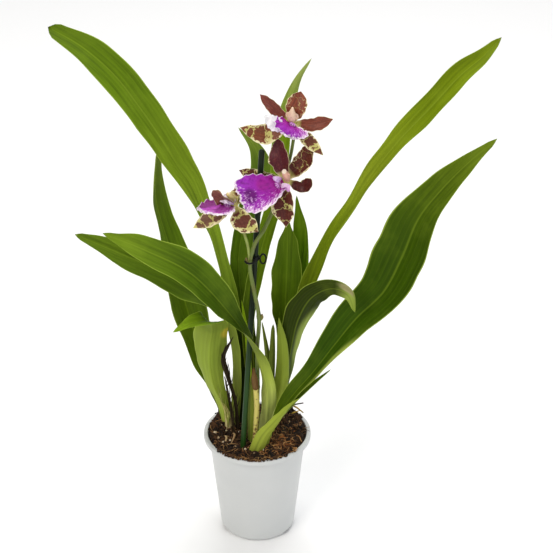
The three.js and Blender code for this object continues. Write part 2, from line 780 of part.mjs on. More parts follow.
let stem = flowerStem();
for (const bloom of BLOOMS) {
  const [aroundTepals, aroundColumn] = [tepalsOf(bloom, CLEAR), columnOf(bloom, CLEAR)];
  addPiece(bloom.name + "_tepals", tepalsOf(bloom), "#5a2226", 0.5);
  addPiece(bloom.name + "_column", mainBody(columnOf(bloom).subtract(aroundTepals)), "#e3c9a8", 0.45);
  addPiece(bloom.name + "_lip", mainBody(cut(lipOf(bloom), [aroundTepals, aroundColumn])), "#a845b8", 0.5);
  stem = stem.subtract(aroundTepals);
}
addPiece("flower_stem", mainBody(stem), "#5c6a2a", 0.5);

const heapedMix = union([mixBody(), ...barkChips(), ...twigs()]);
const planted = [stake(CLEAR), flowerStem(CLEAR), cane(CLEAR), ...LEAVES.map((leaf) => blade(leaf, CLEAR))];
addPiece("potting_mix", mainBody(cut(heapedMix, planted)), "#4a2e1c", 0.95);

export default plant;
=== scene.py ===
"""A zygopetalum orchid in its nursery pot, with the finish of its leaves, blooms, bark, stake and pot.

The plant is modelled in millimetres and turned to metres when a piece is finished. +X is the plant's right,
+Y is behind it and +Z is up, from the centre of the pot's base.
"""

import bisect
import random
from functools import partial
from math import atan2, cos, exp, hypot, pi, radians, sin, sqrt, tau

import bmesh
import bpy
from mathutils import Matrix, Vector, noise


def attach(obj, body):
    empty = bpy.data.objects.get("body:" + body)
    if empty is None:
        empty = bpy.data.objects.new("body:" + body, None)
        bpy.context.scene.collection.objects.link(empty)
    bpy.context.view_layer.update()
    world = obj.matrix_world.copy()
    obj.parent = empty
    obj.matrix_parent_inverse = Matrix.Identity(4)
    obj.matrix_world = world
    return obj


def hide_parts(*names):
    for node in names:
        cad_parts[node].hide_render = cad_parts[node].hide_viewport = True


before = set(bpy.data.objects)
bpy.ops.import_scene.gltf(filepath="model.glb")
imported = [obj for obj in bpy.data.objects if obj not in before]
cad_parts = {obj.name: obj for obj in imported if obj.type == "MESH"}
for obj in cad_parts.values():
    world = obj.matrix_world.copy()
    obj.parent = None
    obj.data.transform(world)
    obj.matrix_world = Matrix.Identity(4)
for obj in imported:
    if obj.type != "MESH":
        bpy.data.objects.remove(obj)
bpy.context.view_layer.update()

bl_info = {
    "name": "Zygopetalum orchid in its pot",
    "version": (1, 0, 0),
    "blender": (4, 5, 0),
    "location": "3D View > Sidebar > Orchid",
    "description": "Builds the finished pieces of a potted zygopetalum orchid",
    "category": "Add Mesh",
}

MM = 0.001
WELD = 0.002  # vertices closer than this, in mm, become one
GOLDEN_ANGLE = 2.4
NOISE_SEED = 7

# ---------------------------------------------------------------- sizes and places, in millimetres

POT = {
    "height": 124.5,
    "base_radius": 42,
    "foot_round": 6,
    "shoulder_radius": 54,
    "rim_radius": 60,
    "rim_height": 5.5,
    "rim_round": 1.6,
    "mouth_radius": 55.5,
    "mouth_taper": 0.4,
    "wall": 1.3,
    "floor": 2,
    "steps": 160,
    "drains": 3,
    "drain_turn": -35,
    "drain_size": (6, 11, 4),
    "drain_depth": 2,  # how far inside the base's edge the middle of a drain notch lies
    "drain_height": 2.4,
    "crease": 50,  # degrees from which an edge is shaded sharp
}

MIX = {
    "level": 123.5,
    "edge_drop": 2,
    "sunk": 0.8,  # how far the body's top lies below the level on which the chips lie
    "gap": 0.3,
    "cells": 120,
    # x, y, height and spread of each low heap of bark
    "heaps": [(-33, 32, 10, 15), (34, 28, 8, 15), (0, 4, 5, 22)],
    "lumpy": 2.6,  # how far the top rises and falls between the chips
    "bottom": 8,
    "dull_tints": ["#b98650", "#84603c", "#5c3e22", "#a8804f", "#4e3018", "#c79a62", "#3a2614", "#6c4828"],
    "rusty_tints": ["#c8864a", "#a06028", "#d8a468", "#7c4820", "#5c3416"],
    "spill": {"turns": (-150, -36), "inner": 53.5, "outer": 59.3},  # crumbs that lie over the rim
    "coir": {"heart": (25, -24), "spread": 11, "share": 0.28},  # where the strands lie thickest
    "pebbles": [(-47, -5), (-43, -15), (-37, -24), (-30, -21), (-24, -33), (-13, -37), (-3, -43)],
    "roots": [
        ["#c09a30", (33, 22, 128), (40, 24, 132), (48, 28, 133)],
        ["#a07c2c", (30, 18, 127), (38, 21, 131), (45, 26, 130)],
        ["#c8a878", (-36, -12, 126), (-34, -20, 129), (-37, -29, 125)],
        ["#b89468", (-27, -8, 127), (-25, -18, 131), (-29, -28, 126)],
    ],
    "twigs": [
        ["#3a2414", (20, 27, 108), (36, 27, 139), (48, 27, 152)],
        ["#2e1d10", (26, 33, 110), (38, 28, 139), (52, 27, 144)],
        ["#b08f30", (36, 28, 142), (44, 30, 136), (52, 31, 128)],
        ["#4a3018", (-20, 36, 110), (-24, 38, 126), (-33, 37, 134)],
    ],
}

# What lies on the mix. reach: how far out. wide: a share of the length. steep: how far a chip tips over, in
# radians. lift: how high it lies over the mix. rough: how far its faces stray, and the size of their grain.
# curl: how far a strand turns from point to point, in radians, and coir_curl where the strands lie thickest.
CHIP = {
    "reach": 51, "long": (3.5, 11), "wide": (0.4, 0.8), "thick": (1, 2.6), "steep": 0.7, "lift": (-0.8, 1.6),
    "rough": (0.9, 2.3),
}
CRUMB = {"reach": 55, "size": (0.5, 2), "lift": (0, 2), "rough": (0.5, 1.1)}
SPILLED = {"size": (0.6, 1.9), "thick": (0.4, 0.9), "rough": (0.4, 1.1)}
STRAND = {
    "reach": 53, "long": (6, 20), "radius": (0.22, 0.55), "curl": 0.5, "coir_curl": 1.1, "lift": (0.6, 3),
}
FLECK = {
    "reach": 46, "size": (0.5, 1.5), "lift": 1.2, "rough": (0.6, 1),
    "tints": ("#d8c8a0", "#c4a878", "#e6dcc0"),
}
PEBBLE = {
    "size": (1.3, 2.3), "lift": 1.4, "rough": (0.6, 1.4),
    "tints": ("#b8946c", "#c8aa84", "#a87c54", "#d8c4a4"),
}

STAKE = {"foot": (-21.4, -32, 30), "top": (6.9, -32, 491), "radius": 3}

# tipped: degrees that a ring tips over. stretch: its length as a multiple of its width.
CLIP = {
    "height": 366,
    "gap": 0.1,
    "grip_radius": 4.4,
    "grip_height": 5,
    "outer_round": 0.5,
    "inner_round": 0.3,
    "stem_ring": {"centre": (-6, -40, 366), "radius": 4.8, "wire": 1, "tipped": 0, "stretch": 1},
    "loop": {"centre": (7.6, -33, 365), "radius": 3.2, "wire": 0.9, "tipped": 90, "stretch": 1.75},
}

PLAIN_FOLD = (25, 25)  # fold of a blade for which none is given
TIP_HALF = 0.5  # least half width of a blade, before its tip closes
FOLD_CURVE = 1.25  # how the fold bends across a half: 1 is a straight slope from the midrib
MIDRIB = 0.07  # half width of the midrib, as a share of the blade's

# How each kind of blade is built: columns across it, rows along it, its thickness, the depth of the keel
# under its midrib, and the share of its length over which its tip closes.
BLADES = {
    "leaf": (36, 100, 0.55, 0.9, 0.02), "small leaf": (16, 60, 0.55, 0.3, 0.05),
    "dry sheath": (14, 60, 0.35, 0, 0.12), "bract": (10, 24, 0.35, 0, 0.1),
    "tepal": (22, 48, 0.7, 0.5, 0.08), "lip": (64, 64, 0.7, 0, 0), "side lobe": (24, 36, 0.6, 0, 0.15),
}

# Points around each kind of stalk, and rows along it.
STALKS = {
    "strand": (3, 9), "frayed strand": (4, 8), "twig": (10, 24), "cane": (32, 120), "cane sheath": (28, 50),
    "wire": (14, 72), "stem": (24, 240), "pedicel": (20, 50), "callus ridge": (12, 14), "column": (28, 48),
}

# spine: midline from foot to tip. half: half widths at equal steps. face: where the upper face looks, as one
# direction or as (share of the length, x, y, z). fold: degrees that each half lifts, at foot and tip. wave:
# ripple height at the margin, ripples along the leaf, and how far the second margin lags. tint: (share,
# colour). spots: patches of another colour, as (across, share, how wide, how long, colour). under: how much
# paler its under face is. small: true for what has a plain margin and is built with fewer columns and rows.
LEAVES = {
    "leaf_far_left": {
        "spine": [
            (-16, 13.5, 104), (-19, 14, 213), (-27, 13, 272), (-47, 13, 373), (-58, 12, 403), (-68, 11, 430),
            (-81, 10, 452), (-93, 10, 475), (-106, 11, 498), (-120, 12, 520), (-134, 15, 540),
            (-149, 20, 556), (-177, 32, 576), (-211, 48, 590),
        ],
        "half": [7, 9.5, 9.5, 9.5, 11, 16, 19, 18, 8],
        "face": [(0, 0.4, -1, 0.2), (0.55, 0.8, -0.6, 0.3), (0.75, 0.3, -0.8, 0.5), (1, 0.3, -0.7, 0.6)],
        "fold": (36, 12), "wave": (1.5, 3, 0.3),
        # Painted shade: the tint's foot is darkened, deep among the other leaves where shade falls.
        "tint": [
            (0, "#3c3a16"), (0.1, "#2e3c0a"), (0.2, "#3c4f08"), (0.28, "#56700f"), (0.4, "#88a22a"),
            (0.5, "#94b02e"), (0.64, "#7c9620"), (0.8, "#607c12"), (1, "#546c08"),
        ],
    },
    "leaf_left_upright": {
        "spine": [
            (-33, 22, 104), (-46, 26, 162), (-60, 32, 198), (-77, 44, 256), (-94.5, 56, 326), (-109, 67, 385),
            (-107, 78, 434),
        ],
        "half": [5, 8, 15, 20, 22.5, 20.5, 17, 15, 7],
        "face": [(0, 0.4, -0.9, 0.2), (0.5, 0.4, -0.9, 0.2), (0.75, 0.9, -0.5, 0.1), (1, 0.9, -0.4, 0.1)],
        "fold": (40, 15), "wave": (1.2, 2.5, 0.4),
        "tint": [(0, "#8f9f25"), (0.25, "#5f7811"), (0.7, "#5b7714"), (1, "#64791a")],
    },
    "leaf_left_arch_rear": {
        "spine": [
            (-26, 4, 104), (-25, 4, 190), (-27, 5, 236), (-37, 0, 277), (-86, -24, 337), (-137, -44, 376),
            (-184, -55, 406),
        ],
        "half": [5, 7, 9, 12, 19, 23, 22, 15, 3],
        "face": [(0, 0.2, 1, 0), (0.45, 0.8, 0.1, 0.5), (0.65, 0.2, -0.6, 0.8), (1, 0.1, -0.6, 0.8)],
        "fold": (40, 10), "wave": (1, 2.5, 0.4),
        # Painted shade: the near-black foot stands for the shade deep among the leaves.
        "tint": [
            (0, "#120c05"), (0.2, "#0f0f04"), (0.25, "#20280a"), (0.33, "#4c6410"), (0.7, "#567013"),
            (1, "#617a17"),
        ],
    },
    "leaf_left_arch_front": {
        "spine": [
            (5, -19, 104), (11, -23, 162), (11, -32, 208), (-4, -48, 268), (-25, -56, 309), (-67, -66, 367),
            (-111, -74, 398), (-153, -80, 421),
        ],
        "half": [9.5, 10, 10, 9.5, 8.5, 10, 16, 20, 19, 13, 2],
        "face": [
            (0, 0, 1, 0), (0.35, 0.5, 0.8, 0.2), (0.46, 0.9, 0, 0.4), (0.6, 0.2, -0.6, 0.8),
            (1, 0, -0.6, 0.8),
        ],
        "fold": (38, 8), "wave": (1, 3, 0.35),
        # Painted light and shade: the pale foot is lightened where other leaves shade it and light shines
        # through it, and the dark band at shares 0.42 to 0.5 is painted shade on the arch's face, which turns
        # away from the light.
        "tint": [
            (0, "#e8e6a0"), (0.14, "#d8e084"), (0.3, "#9cac44"), (0.42, "#37480c"), (0.5, "#334708"),
            (0.7, "#4a660d"), (1, "#6d861b"),
        ],
        "under": 0.3,
    },
    "leaf_left_folded": {
        "spine": [
            (-33, 8, 104), (-39, 8, 154), (-48, 5, 182), (-52, -1, 213), (-51, -8, 243), (-48, -16, 271),
            (-52, -27, 286), (-68, -38, 290), (-88, -46, 283),
        ],
        "half": [5, 6.5, 8.5, 12, 15, 18, 20, 16, 9, 1.5],
        "face": [
            (0, 0.2, 1, 0), (0.6, 0.1, 1, 0.2), (0.7, 0, 0.5, 0.9), (0.8, -0.1, -0.2, 1),
            (1, -0.2, -0.4, 0.9),
        ],
        "fold": (38, 12), "wave": (1, 2, 0.5),
        # Painted shade: the dark band at share 0.76 and the dark spot at share 0.74 stand for the shade under
        # the fold.
        "tint": [
            (0, "#c9c25c"), (0.15, "#93a634"), (0.5, "#76902a"), (0.68, "#6d8420"), (0.76, "#486806"),
            (0.88, "#7c9c1c"), (1, "#86a620"),
        ],
        "spots": [(0.95, 0.67, 0.4, 0.03, "#d8b02c"), (0.1, 0.74, 0.9, 0.05, "#3c5a04")],
    },
    "leaf_back_left": {
        "spine": [
            (-6, 24, 104), (-8, 24, 200), (-17, 27, 281), (-19, 30, 335), (-7, 38, 391), (3, 44, 424),
            (0, 52, 449), (-19, 60, 472),
        ],
        "half": [5, 7, 9, 12, 13, 14, 15, 12, 1], "face": [(0, 0.2, -1, 0.1), (1, 0.3, -0.9, 0.3)],
        "fold": (30, 25), "wave": (1, 2, 0.5),
        "tint": [(0, "#849423"), (0.3, "#556c0c"), (0.6, "#5c7814"), (0.8, "#4e7010"), (1, "#7c8e38")],
    },
    "leaf_back_centre": {
        "spine": [
            (-1, 9, 104), (-8, 8, 202), (-9, 8, 267), (4, 14, 343), (21, 28, 408), (30, 42, 483),
            (42, 54, 525), (58, 60, 551),
        ],
        "half": [4, 5, 6, 8, 9, 9, 10, 8, 1], "face": [(0, 0.2, -1, 0.1), (1, -0.4, -0.9, 0.3)],
        "fold": (35, 15), "wave": (0.8, 3, 0.5),
        "tint": [(0, "#849423"), (0.35, "#455906"), (0.8, "#6f8c11"), (0.93, "#8a9a48"), (1, "#98a65c")],
    },
    "leaf_mid_right_front": {
        "spine": [(17, 10, 104), (25, 15, 174), (30, 17.5, 229), (31, 19, 273), (33, 21, 333), (34, 24, 383)],
        "half": [5, 5.5, 6, 6, 6.5, 9, 14, 17, 16, 10, 1], "face": [(0, 0, -1, 0.1), (1, 0.1, -1, 0.2)],
        "fold": (20, 12), "wave": (1, 2, 0.5),
        "tint": [(0, "#849423"), (0.3, "#5c740e"), (0.8, "#56720d"), (1, "#647d16")],
    },
    "leaf_mid_right_rear": {
        "spine": [(21, 17, 104), (30, 23, 179), (35, 27, 242), (43, 31, 299), (48, 36, 355), (43, 43, 400)],
        "half": [5, 6, 7, 8, 10, 12, 12, 9, 1], "face": [(0, 0, -1, 0.1), (1, -0.4, -0.9, 0.2)],
        "fold": (20, 15), "wave": (0.8, 2, 0.5),
        "tint": [(0, "#849423"), (0.3, "#647c14"), (0.8, "#6a9014"), (1, "#7a961c")],
    },
    "leaf_right_tall": {
        "spine": [
            (13, 3, 104), (25, 4, 164), (33, 5, 210), (41, 5, 248), (67, 7, 331), (81, 9, 369),
            (101, 12, 404), (117, 15, 432), (147, 20, 474), (178, 26, 508), (210, 34, 543), (233, 45, 559),
            (253, 60, 574),
        ],
        "half": [5, 6.5, 9, 12.5, 13.5, 9, 8, 11, 14, 12, 3],
        "face": [
            (0, -0.3, 1, 0.2), (0.2, -0.7, 0.4, 0.2), (0.4, -0.8, -0.5, 0.4), (0.6, -0.6, -0.8, 0.3),
            (1, -0.3, -0.8, 0.6),
        ],
        "fold": (38, 20), "wave": (1.2, 3.5, 0.4),
        "tint": [
            (0, "#7c8c1d"), (0.3, "#606f10"), (0.5, "#849a10"), (0.62, "#8c9c22"), (0.8, "#72860c"),
            (1, "#70820c"),
        ],
    },
    "leaf_right_curled": {
        "spine": [
            (13, -4, 104), (22, -5, 164), (31, -7, 199), (37, -11, 241), (45, -18, 283), (60, -30, 318),
            (81, -41, 334), (97, -46, 329), (104, -49, 309),
        ],
        "half": [5, 6, 7, 9.5, 12, 14.5, 17, 13, 8.5, 1.5],
        "face": [
            (0, 0, 1, 0.1), (0.45, -0.4, 0.9, 0.1), (0.6, -0.2, 0.95, -0.2), (0.85, 0.1, 0.95, 0),
            (1, -0.4, 0.8, 0.2),
        ],
        "fold": (38, 8), "wave": (0.8, 2, 0.5),
        # Painted shade: the dark green from share 0.4 to 0.87, and the under face left almost unpaled, stand
        # for the shade on the arch's face.
        "tint": [
            (0, "#7c8c1d"), (0.2, "#5a6e16"), (0.4, "#2c3e04"), (0.6, "#182600"), (0.87, "#1a2800"),
            (0.93, "#8b9c44"), (1, "#7c9030"),
        ],
        "under": 0.04, "spots": [(1.1, 0.53, 0.85, 0.17, "#95a74a"), (-0.6, 0.91, 0.45, 0.03, "#9c9468")],
    },
    "leaf_right_broad": {
        "spine": [
            (7, -28, 104), (15, -29.2, 142), (26.5, -30.6, 172), (42, -28.8, 196), (59, -26, 217),
            (83, -25, 253), (106, -25, 287), (134.5, -26, 321), (152.5, -30, 366), (167, -38, 415),
            (187, -46, 451), (212, -51, 484), (240, -55, 514),
        ],
        "half": [6, 7.5, 11, 14.5, 20.5, 26.5, 31, 28.5, 20.5, 10.5, 2],
        "face": [
            (0, -0.2, 0.9, 0.3), (0.1, -0.6, 0.2, 0.6), (0.2, -0.5, -0.5, 0.6), (0.6, -0.4, -0.7, 0.6),
            (1, -0.3, -0.7, 0.6),
        ],
        "fold": (30, 8), "wave": (1.6, 3.5, 0.35),
        "tint": [(0, "#849423"), (0.15, "#465c06"), (0.3, "#335006"), (0.7, "#3a5203"), (1, "#647813")],
        "spots": [(-1, 0.3, 0.42, 0.12, "#9cac4a")],
    },
    "leaf_right_small": {
        "spine": [(0, -35.4, 110), (10, -36.2, 138), (30, -36.2, 172), (60.5, -31.5, 207), (80.5, -28, 225)],
        "half": [2.3, 2.6, 2.8, 3.4, 3.2, 0.6],
        "face": [(0, -0.5, 0.6, 0.6), (0.5, -0.5, 0, 0.8), (1, -0.4, -0.5, 0.8)], "fold": (20, 20),
        "tint": [(0, "#8a9a23"), (0.5, "#647f1c"), (1, "#56700f")], "small": True,
    },
    "sheath_right": {
        "spine": [
            (-5, -39, 108), (8, -43, 146), (20, -45, 165.5), (30, -45, 180.5), (39, -43.3, 190.6),
            (47, -41.5, 196.7),
        ],
        "half": [8.5, 9.5, 9.5, 7.5, 4.5, 1], "face": [(0, -0.1, 0.95, 0.3), (1, -0.3, 0.8, 0.5)],
        "tint": [(0, "#8a6a34"), (0.05, "#a89c44"), (0.12, "#98a034"), (0.5, "#8d9828"), (1, "#788a1a")],
        "spots": [(-0.3, 0.35, 0.09, 0.4, "#566010"), (0.45, 0.7, 0.07, 0.35, "#6c7a18")], "small": True,
    },
    "leaf_centre_pale": {
        "spine": [
            (10, -10, 104), (13, -12, 140), (19, -12.5, 160), (25, -14, 187), (28, -16, 214), (28, -19, 245),
            (24, -23, 288),
        ],
        "half": [7.5, 8.5, 9, 8.5, 7.5, 5.5, 1], "face": [(0, 0, 1, 0.1), (1, 0, 1, 0.2)], "fold": (30, 20),
        "tint": [(0, "#c0c850"), (0.35, "#a2b034"), (0.6, "#7a8c20"), (1, "#64791a")], "small": True,
    },
    "leaf_centre_short": {
        "spine": [(6, -5.5, 104), (13, -7, 172), (16, -8, 210), (18, -8, 270)],
        "half": [3.5, 4.5, 5, 4.5, 3.5, 2], "face": (0, 1, 0.1),
        "tint": [(0, "#6c7c1b"), (0.5, "#3a4c08"), (1, "#334507")], "small": True,
    },
    "leaf_centre_dark": {
        "spine": [(3, 0, 104), (12, 1, 179), (12, 1, 219), (6, -1, 269)], "half": [3, 3.5, 3.5, 3, 0.8],
        "face": (0, 1, 0.1), "tint": [(0, "#56681a"), (0.5, "#2e4006"), (1, "#2c3c07")], "small": True,
    },
    "leaf_left_thin": {
        "spine": [(-6, 2, 104), (-8, 3, 177), (-10, 4, 242), (-16, 4, 293)], "half": [3, 3, 3, 2.8, 0.8],
        "face": (0, -1, 0.1), "tint": [(0, "#8fa622"), (1, "#83a40d")], "small": True,
    },
    "sheath_left_margin": {
        "spine": [(-7, -25, 108), (-7, -26, 156), (-6, -27, 191), (-5, -28, 217)], "half": [4.5, 4.5, 4, 1.5],
        "face": (0.3, 1, 0), "fold": (30, 25), "tint": [(0, "#8c982c"), (1, "#6f7f1d")],
        # Painted shadow: the dark spot along its left margin.
        "spots": [(-1, 0.4, 1, 1.2, "#182404")], "small": True,
    },
}

DRY_SHEATHS = {
    "dry_sheath_long": {
        "spine": [(-21, -3, 108), (-24, -5, 166), (-32, -8, 204), (-36, -12, 230), (-25, -14, 258)],
        "half": [2, 1.9, 2, 3, 1.2], "face": [(0, 0, -1, 0.1), (1, 0.3, -1, 0.2)], "fold": (30, -20),
        "wave": (0.8, 3, 0.3), "tint": [(0, "#2c1e10"), (0.4, "#140d06"), (1, "#100a04")],
    },
    "dry_sheath_short": {
        "spine": [(-26, -8, 110), (-28, -10, 154), (-32, -13, 185), (-35, -16, 208)],
        "half": [2, 1.8, 1.6, 0.8], "face": (0.2, -1, 0.1), "fold": (30, -10), "wave": (0.6, 2, 0.4),
        "tint": [(0, "#3c2a14"), (0.5, "#181008"), (1, "#140d06")],
    },
    "dry_sheath_tan": {
        "spine": [(-32, 0, 110), (-34, 1, 147), (-41, 0, 168)], "half": [6, 5.5, 3.5, 1],
        "face": (0.2, 1, 0.1), "fold": (40, 20), "wave": (0.5, 2, 0.4),
        "tint": [(0, "#94744a"), (0.3, "#cdbf88"), (0.8, "#b0ac5c"), (1, "#98a04c")],
        "spots": [
            (-0.25, 0.5, 0.1, 0.6, "#5c4420"), (0.5, 0.6, 0.08, 0.5, "#6c5a2c"),
            (-0.8, 0.3, 0.1, 0.4, "#5c4420"),
        ],
    },
}

CANE = {
    "radii": [3.75, 3.15, 3, 2.85],
    "route": [(-3, -30, 104), (-1, -30.5, 150), (0, -31, 180), (-1, -32, 202)],
    "sheath": [(-1, -32, 203), (-2, -33, 214), (-3, -34, 230)],
    "sheath_radii": [3.3, 3.2, 1],
    "joints": [0.3, 0.55, 0.8],  # shares of the length at which a leaf scar rings the cane
    "tint": "#c6ba60",
}

STEM = {
    "radii": [2.4, 2.3, 2.2, 2, 1.7],
    "route": [
        (-1, -7, 104), (0, -11, 150), (1, -19, 200), (1, -33, 255), (3, -39, 298), (-2, -40, 331),
        (-6, -40, 362), (-1, -41, 386), (9, -38, 403), (18, -28, 420), (27, -21, 443), (36, -19, 478),
        (40, -22, 507),
    ],
    "pedicels": [
        [(-6, -40, 364), (-8, -41, 385), (-15, -41, 411), (-21, -38, 430)],
        [(20, -25, 424), (27, -27, 442), (31, -34, 457)],
        [(40, -22, 500), (40, -25, 511), (37, -30, 519)],
    ],
    "pedicel_radii": [1.6, 1.5, 1.9],
    "joints": [0.22, 0.47, 0.66, 0.79],
    "bracts": [
        [(4, -36, 290), (6, -41, 297), (6.5, -42, 304)],
        [(-6, -38, 358), (-9, -41, 366), (-10, -42, 372)],
        [(17, -29, 417), (21, -28, 424), (23, -29, 431)],
    ],
}
BRACT = {"half": [2.4, 2.8, 2.2, 0.6], "fold": (55, 30), "face": (0, 1, 0.3)}

# A bloom's tepals: tip, half widths at equal steps, how far the middle stands right of, forward of and above
# the straight line to the tip, colour of the blotches, and how much of the pale ground shows between them.
# lean: how far one side of a lip's end stands past its middle. pale_side: how much paler one side is, as a
# multiple of the setting. lobes: the side lobes. wing: size of the column's wings, as a multiple.
BLOOMS = {
    "bloom_low": {
        "centre": (-21, -40, 432), "looks": (-0.4, -0.85, 0.2),
        "tepals": [
            ((-42, -62, 460), [3.5, 8.5, 8.8, 7, 3], (0, 3, 0), "#8c5c46", 0),
            ((-63, -60, 416), [2.5, 7, 9, 7, 1], (0, -3, 0), "#7c5a44", 0.55),
            ((3, -52, 407), [2.5, 10.5, 13.5, 9.5, 1], (-2, 3, 0), "#6e3a2c", 0.5),
            ((-17, -26, 449), [2.5, 4.5, 5, 4, 1], (0, 2, 0), "#6b3c26", 0.5),
            ((-2, -26, 446), [2.5, 5, 6, 5, 1], (0, 2, 0), "#6b3c26", 0.6),
        ],
        "lip": {
            "spine": [(-24, -43, 433), (-40, -59, 437), (-56, -74, 445)], "half": [5, 14, 17.5, 16.5, 11, 5],
            "face": (0.2, 0.12, 1), "pale_side": 1.3,
            # Painted light: the paler spot at across 0.25 lifts the shade where the lip curves away under the
            # tepals.
            "spots": [(-0.75, 0.55, 0.55, 0.5, "#7c2270"), (0.25, 0.55, 0.6, 0.45, "#c858c4")],
            "lobes": [
                {
                    "spine": [(-21, -46, 438), (-27, -49, 443.5), (-36, -53, 443.5)],
                    "half": [3, 5, 5.5, 4.5, 2], "face": (-0.2, -0.7, 0.6),
                    "tint": [(0, "#d4b0ea"), (0.5, "#eadcf4"), (1, "#f2e8f4")],
                },
            ],
        },
        "column": [(-21, -40, 434), (-24, -48, 446), (-28, -55, 452)],
        "column_radii": [2.6, 2.6, 3.2, 3.4, 1.6], "column_tint": "#d8c484",
    },
    "bloom_mid": {
        "centre": (31, -34, 457), "looks": (-0.5, -0.8, 0.3),
        "tepals": [
            ((22.5, -22, 499), [3, 10, 12.5, 9.5, 1], (1, 3, 0), "#5a1a26", 0.05),
            ((57, -30, 497), [3, 9, 10.5, 9, 2], (4, -3, 0), "#5a241a", 0.2),
            ((57, -44, 463), [2.5, 5, 6.5, 6.5, 3.5], (3, -4, -8), "#541c1e", 0),
            ((31, -50, 411), [3, 11, 15, 10, 1], (1, 4, 0), "#5a221c", 0.3),
            ((-17, -10, 456.5), [3, 6.5, 8, 6.5, 1], (0, 0, -2.5), "#5a2a1c", 0.3),
        ],
        "lip": {
            "spine": [(29, -38, 456), (6, -54, 454.5), (-16.5, -61, 452.5)],
            "half": [6, 11.5, 16, 19.5, 20, 16.5], "face": (-0.1, -0.8, 0.55), "lean": -2.5,
            "spots": [(0.1, 0.78, 0.42, 0.15, "#5e0868"), (-0.35, 0.45, 0.4, 0.16, "#9c1c90")],
            "lobes": [
                {
                    "spine": [(31, -41, 450), (31, -47, 456), (27, -50, 461)], "half": [2.5, 4.5, 5, 3.5, 1],
                    "face": (-0.3, -0.8, 0.4), "tint": [(0, "#c77fd0"), (0.5, "#dfb0de"), (1, "#ecd0e4")],
                },
                {
                    "spine": [(26, -42, 461), (22, -47, 465), (18, -49, 468)], "half": [2, 3, 3.2, 2.4, 1],
                    "face": (-0.3, -0.8, 0.4), "tint": [(0, "#c590d8"), (1, "#e2c4ea")],
                },
            ],
        },
        "column": [(33, -36, 458), (31, -43, 468), (28.5, -47, 474)],
        "column_radii": [2.6, 3.4, 3.8, 3.2, 1.8], "column_tint": "#dba892",
    },
    "bloom_top": {
        "centre": (37, -30, 519), "looks": (-0.15, -0.95, 0.2),
        "tepals": [
            ((5, -18, 545), [2.5, 5, 6.5, 5.5, 1], (0, 2, 0), "#7a382c", 0),
            ((46, -22, 550), [2.5, 8.5, 11, 9.5, 2], (0, 3, 0), "#83402a", 0.15),
            ((78, -34, 525), [2.5, 6, 7.5, 6.5, 1], (0, 1, -3), "#83402e", 0),
            ((-15, -34, 516), [2.5, 8.5, 11.5, 8, 1], (0, -3, -9), "#84482c", 0.45),
            ((68, -46, 491), [2.5, 6, 7.5, 5.5, 1], (0, -2, 0), "#74402a", 0.45),
        ],
        "lip": {
            "spine": [(37, -35, 520), (36, -46, 521), (34, -57, 517)], "half": [4, 12, 17, 18, 15, 8],
            "face": (0.4, -0.3, 0.85),
            "lobes": [
                {
                    "spine": [(29, -44, 520), (20, -46, 526), (10, -42, 533)], "half": [3, 6.5, 7.5, 5.5, 2],
                    "face": (-0.1, -0.8, 0.55), "tint": [(0, "#d9c4e4"), (0.4, "#e9e3ec"), (1, "#dcdcdc")],
                },
            ],
        },
        "column": [(37, -30, 521), (37, -36, 532), (37.5, -40, 541)],
        "column_radii": [2.6, 4.9, 4.2, 2.5, 0.9], "column_tint": "#ecccae", "wing": 1.7,
    },
}
# scallop: depth and number of the scallops along each margin
TEPAL = {"fold": (30, 12), "wave": (1.1, 2.5, 0.5), "scallop": (0.35, 5)}
LIP = {"fold": (12, -14), "wave": (2.2, 0.5, 0), "scallop": (0.6, 5.5)}
LOBE = {**LIP, "wave": (0.8, 1.5, 0.3)}
# rise: how far the middle of the callus stands over the lip. spread: degrees that its ridges fan over.
CALLUS = {"rise": 0.9, "size": (3.6, 3.4, 1.8), "ridges": 7, "spread": 110}
CORE_RADIUS = 3.8

# The stage is in metres. A lamp is its place, its width, the setting of its power and its colour.
LAMPS = {
    "key": ((-1.5, -2, 2.3), 1.6, "key_power", "#fffaf2"),
    "fill": ((1.9, -1.6, 1.5), 1.8, "fill_power", "#f6f9ff"),
    "top": ((0.2, 0.9, 2.6), 1.8, "top_power", "#ffffff"),
}
LAMPS_AIM = (0, 0, 0.3)
FLOOR_HALF = 6
# tilt: degrees up from straight down. sensor: its width in millimetres.
CAMERA = {"place": (0.0216, -1.6644, 1.2856), "tilt": 60, "focal_px": 1800, "frame_px": 553, "sensor": 36}


# ---------------------------------------------------------------- numbers and curves


def paint(text):
    """Linear red, green, blue and alpha of an sRGB hex value."""
    shares = [int(text[k : k + 2], 16) / 255 for k in (1, 3, 5)]
    return [s / 12.92 if s <= 0.04045 else ((s + 0.055) / 1.055) ** 2.4 for s in shares] + [1.0]


def mix(a, b, share):
    return a + (b - a) * share


def pick(draw, ends, bias=1):
    """A random number between two ends, nearer to the first of them with a greater bias."""
    return mix(*ends, draw.random() ** bias)


def bumps(x, y, z):
    """A smooth random value from -1 to 1 that changes over a distance of about 1."""
    return noise.noise(Vector((x, y, z)))


def smooth_step(low, high, value):
    """0 at low and beyond it, 1 at high and beyond it, and smooth between. low may be the greater."""
    share = min(1, max(0, (value - low) / (high - low)))
    return share * share * (3 - 2 * share)


def along(values, share):
    """The value at a share of numbers that stand at equal steps, on a smooth curve."""
    last = len(values) - 1
    i = min(int(share * last), last - 1)
    w = share * last - i
    before, a, b, after = (values[min(max(k, 0), last)] for k in (i - 1, i, i + 1, i + 2))
    rise, fall = (b - before) / 2, (after - a) / 2
    return a + w * (rise + w * (-3 * a + 3 * b - 2 * rise - fall + w * (2 * a - 2 * b + rise + fall)))


def between(stops, share):
    """What a list of (share, value) holds at a share, in straight steps. Values are Vectors."""
    k = next((k for k, stop in enumerate(stops) if stop[0] >= share), len(stops) - 1)
    if k == 0:
        return stops[0][1].copy()
    (low, a), (high, b) = stops[k - 1], stops[k]
    return a.lerp(b, min(1, (share - low) / (high - low)))


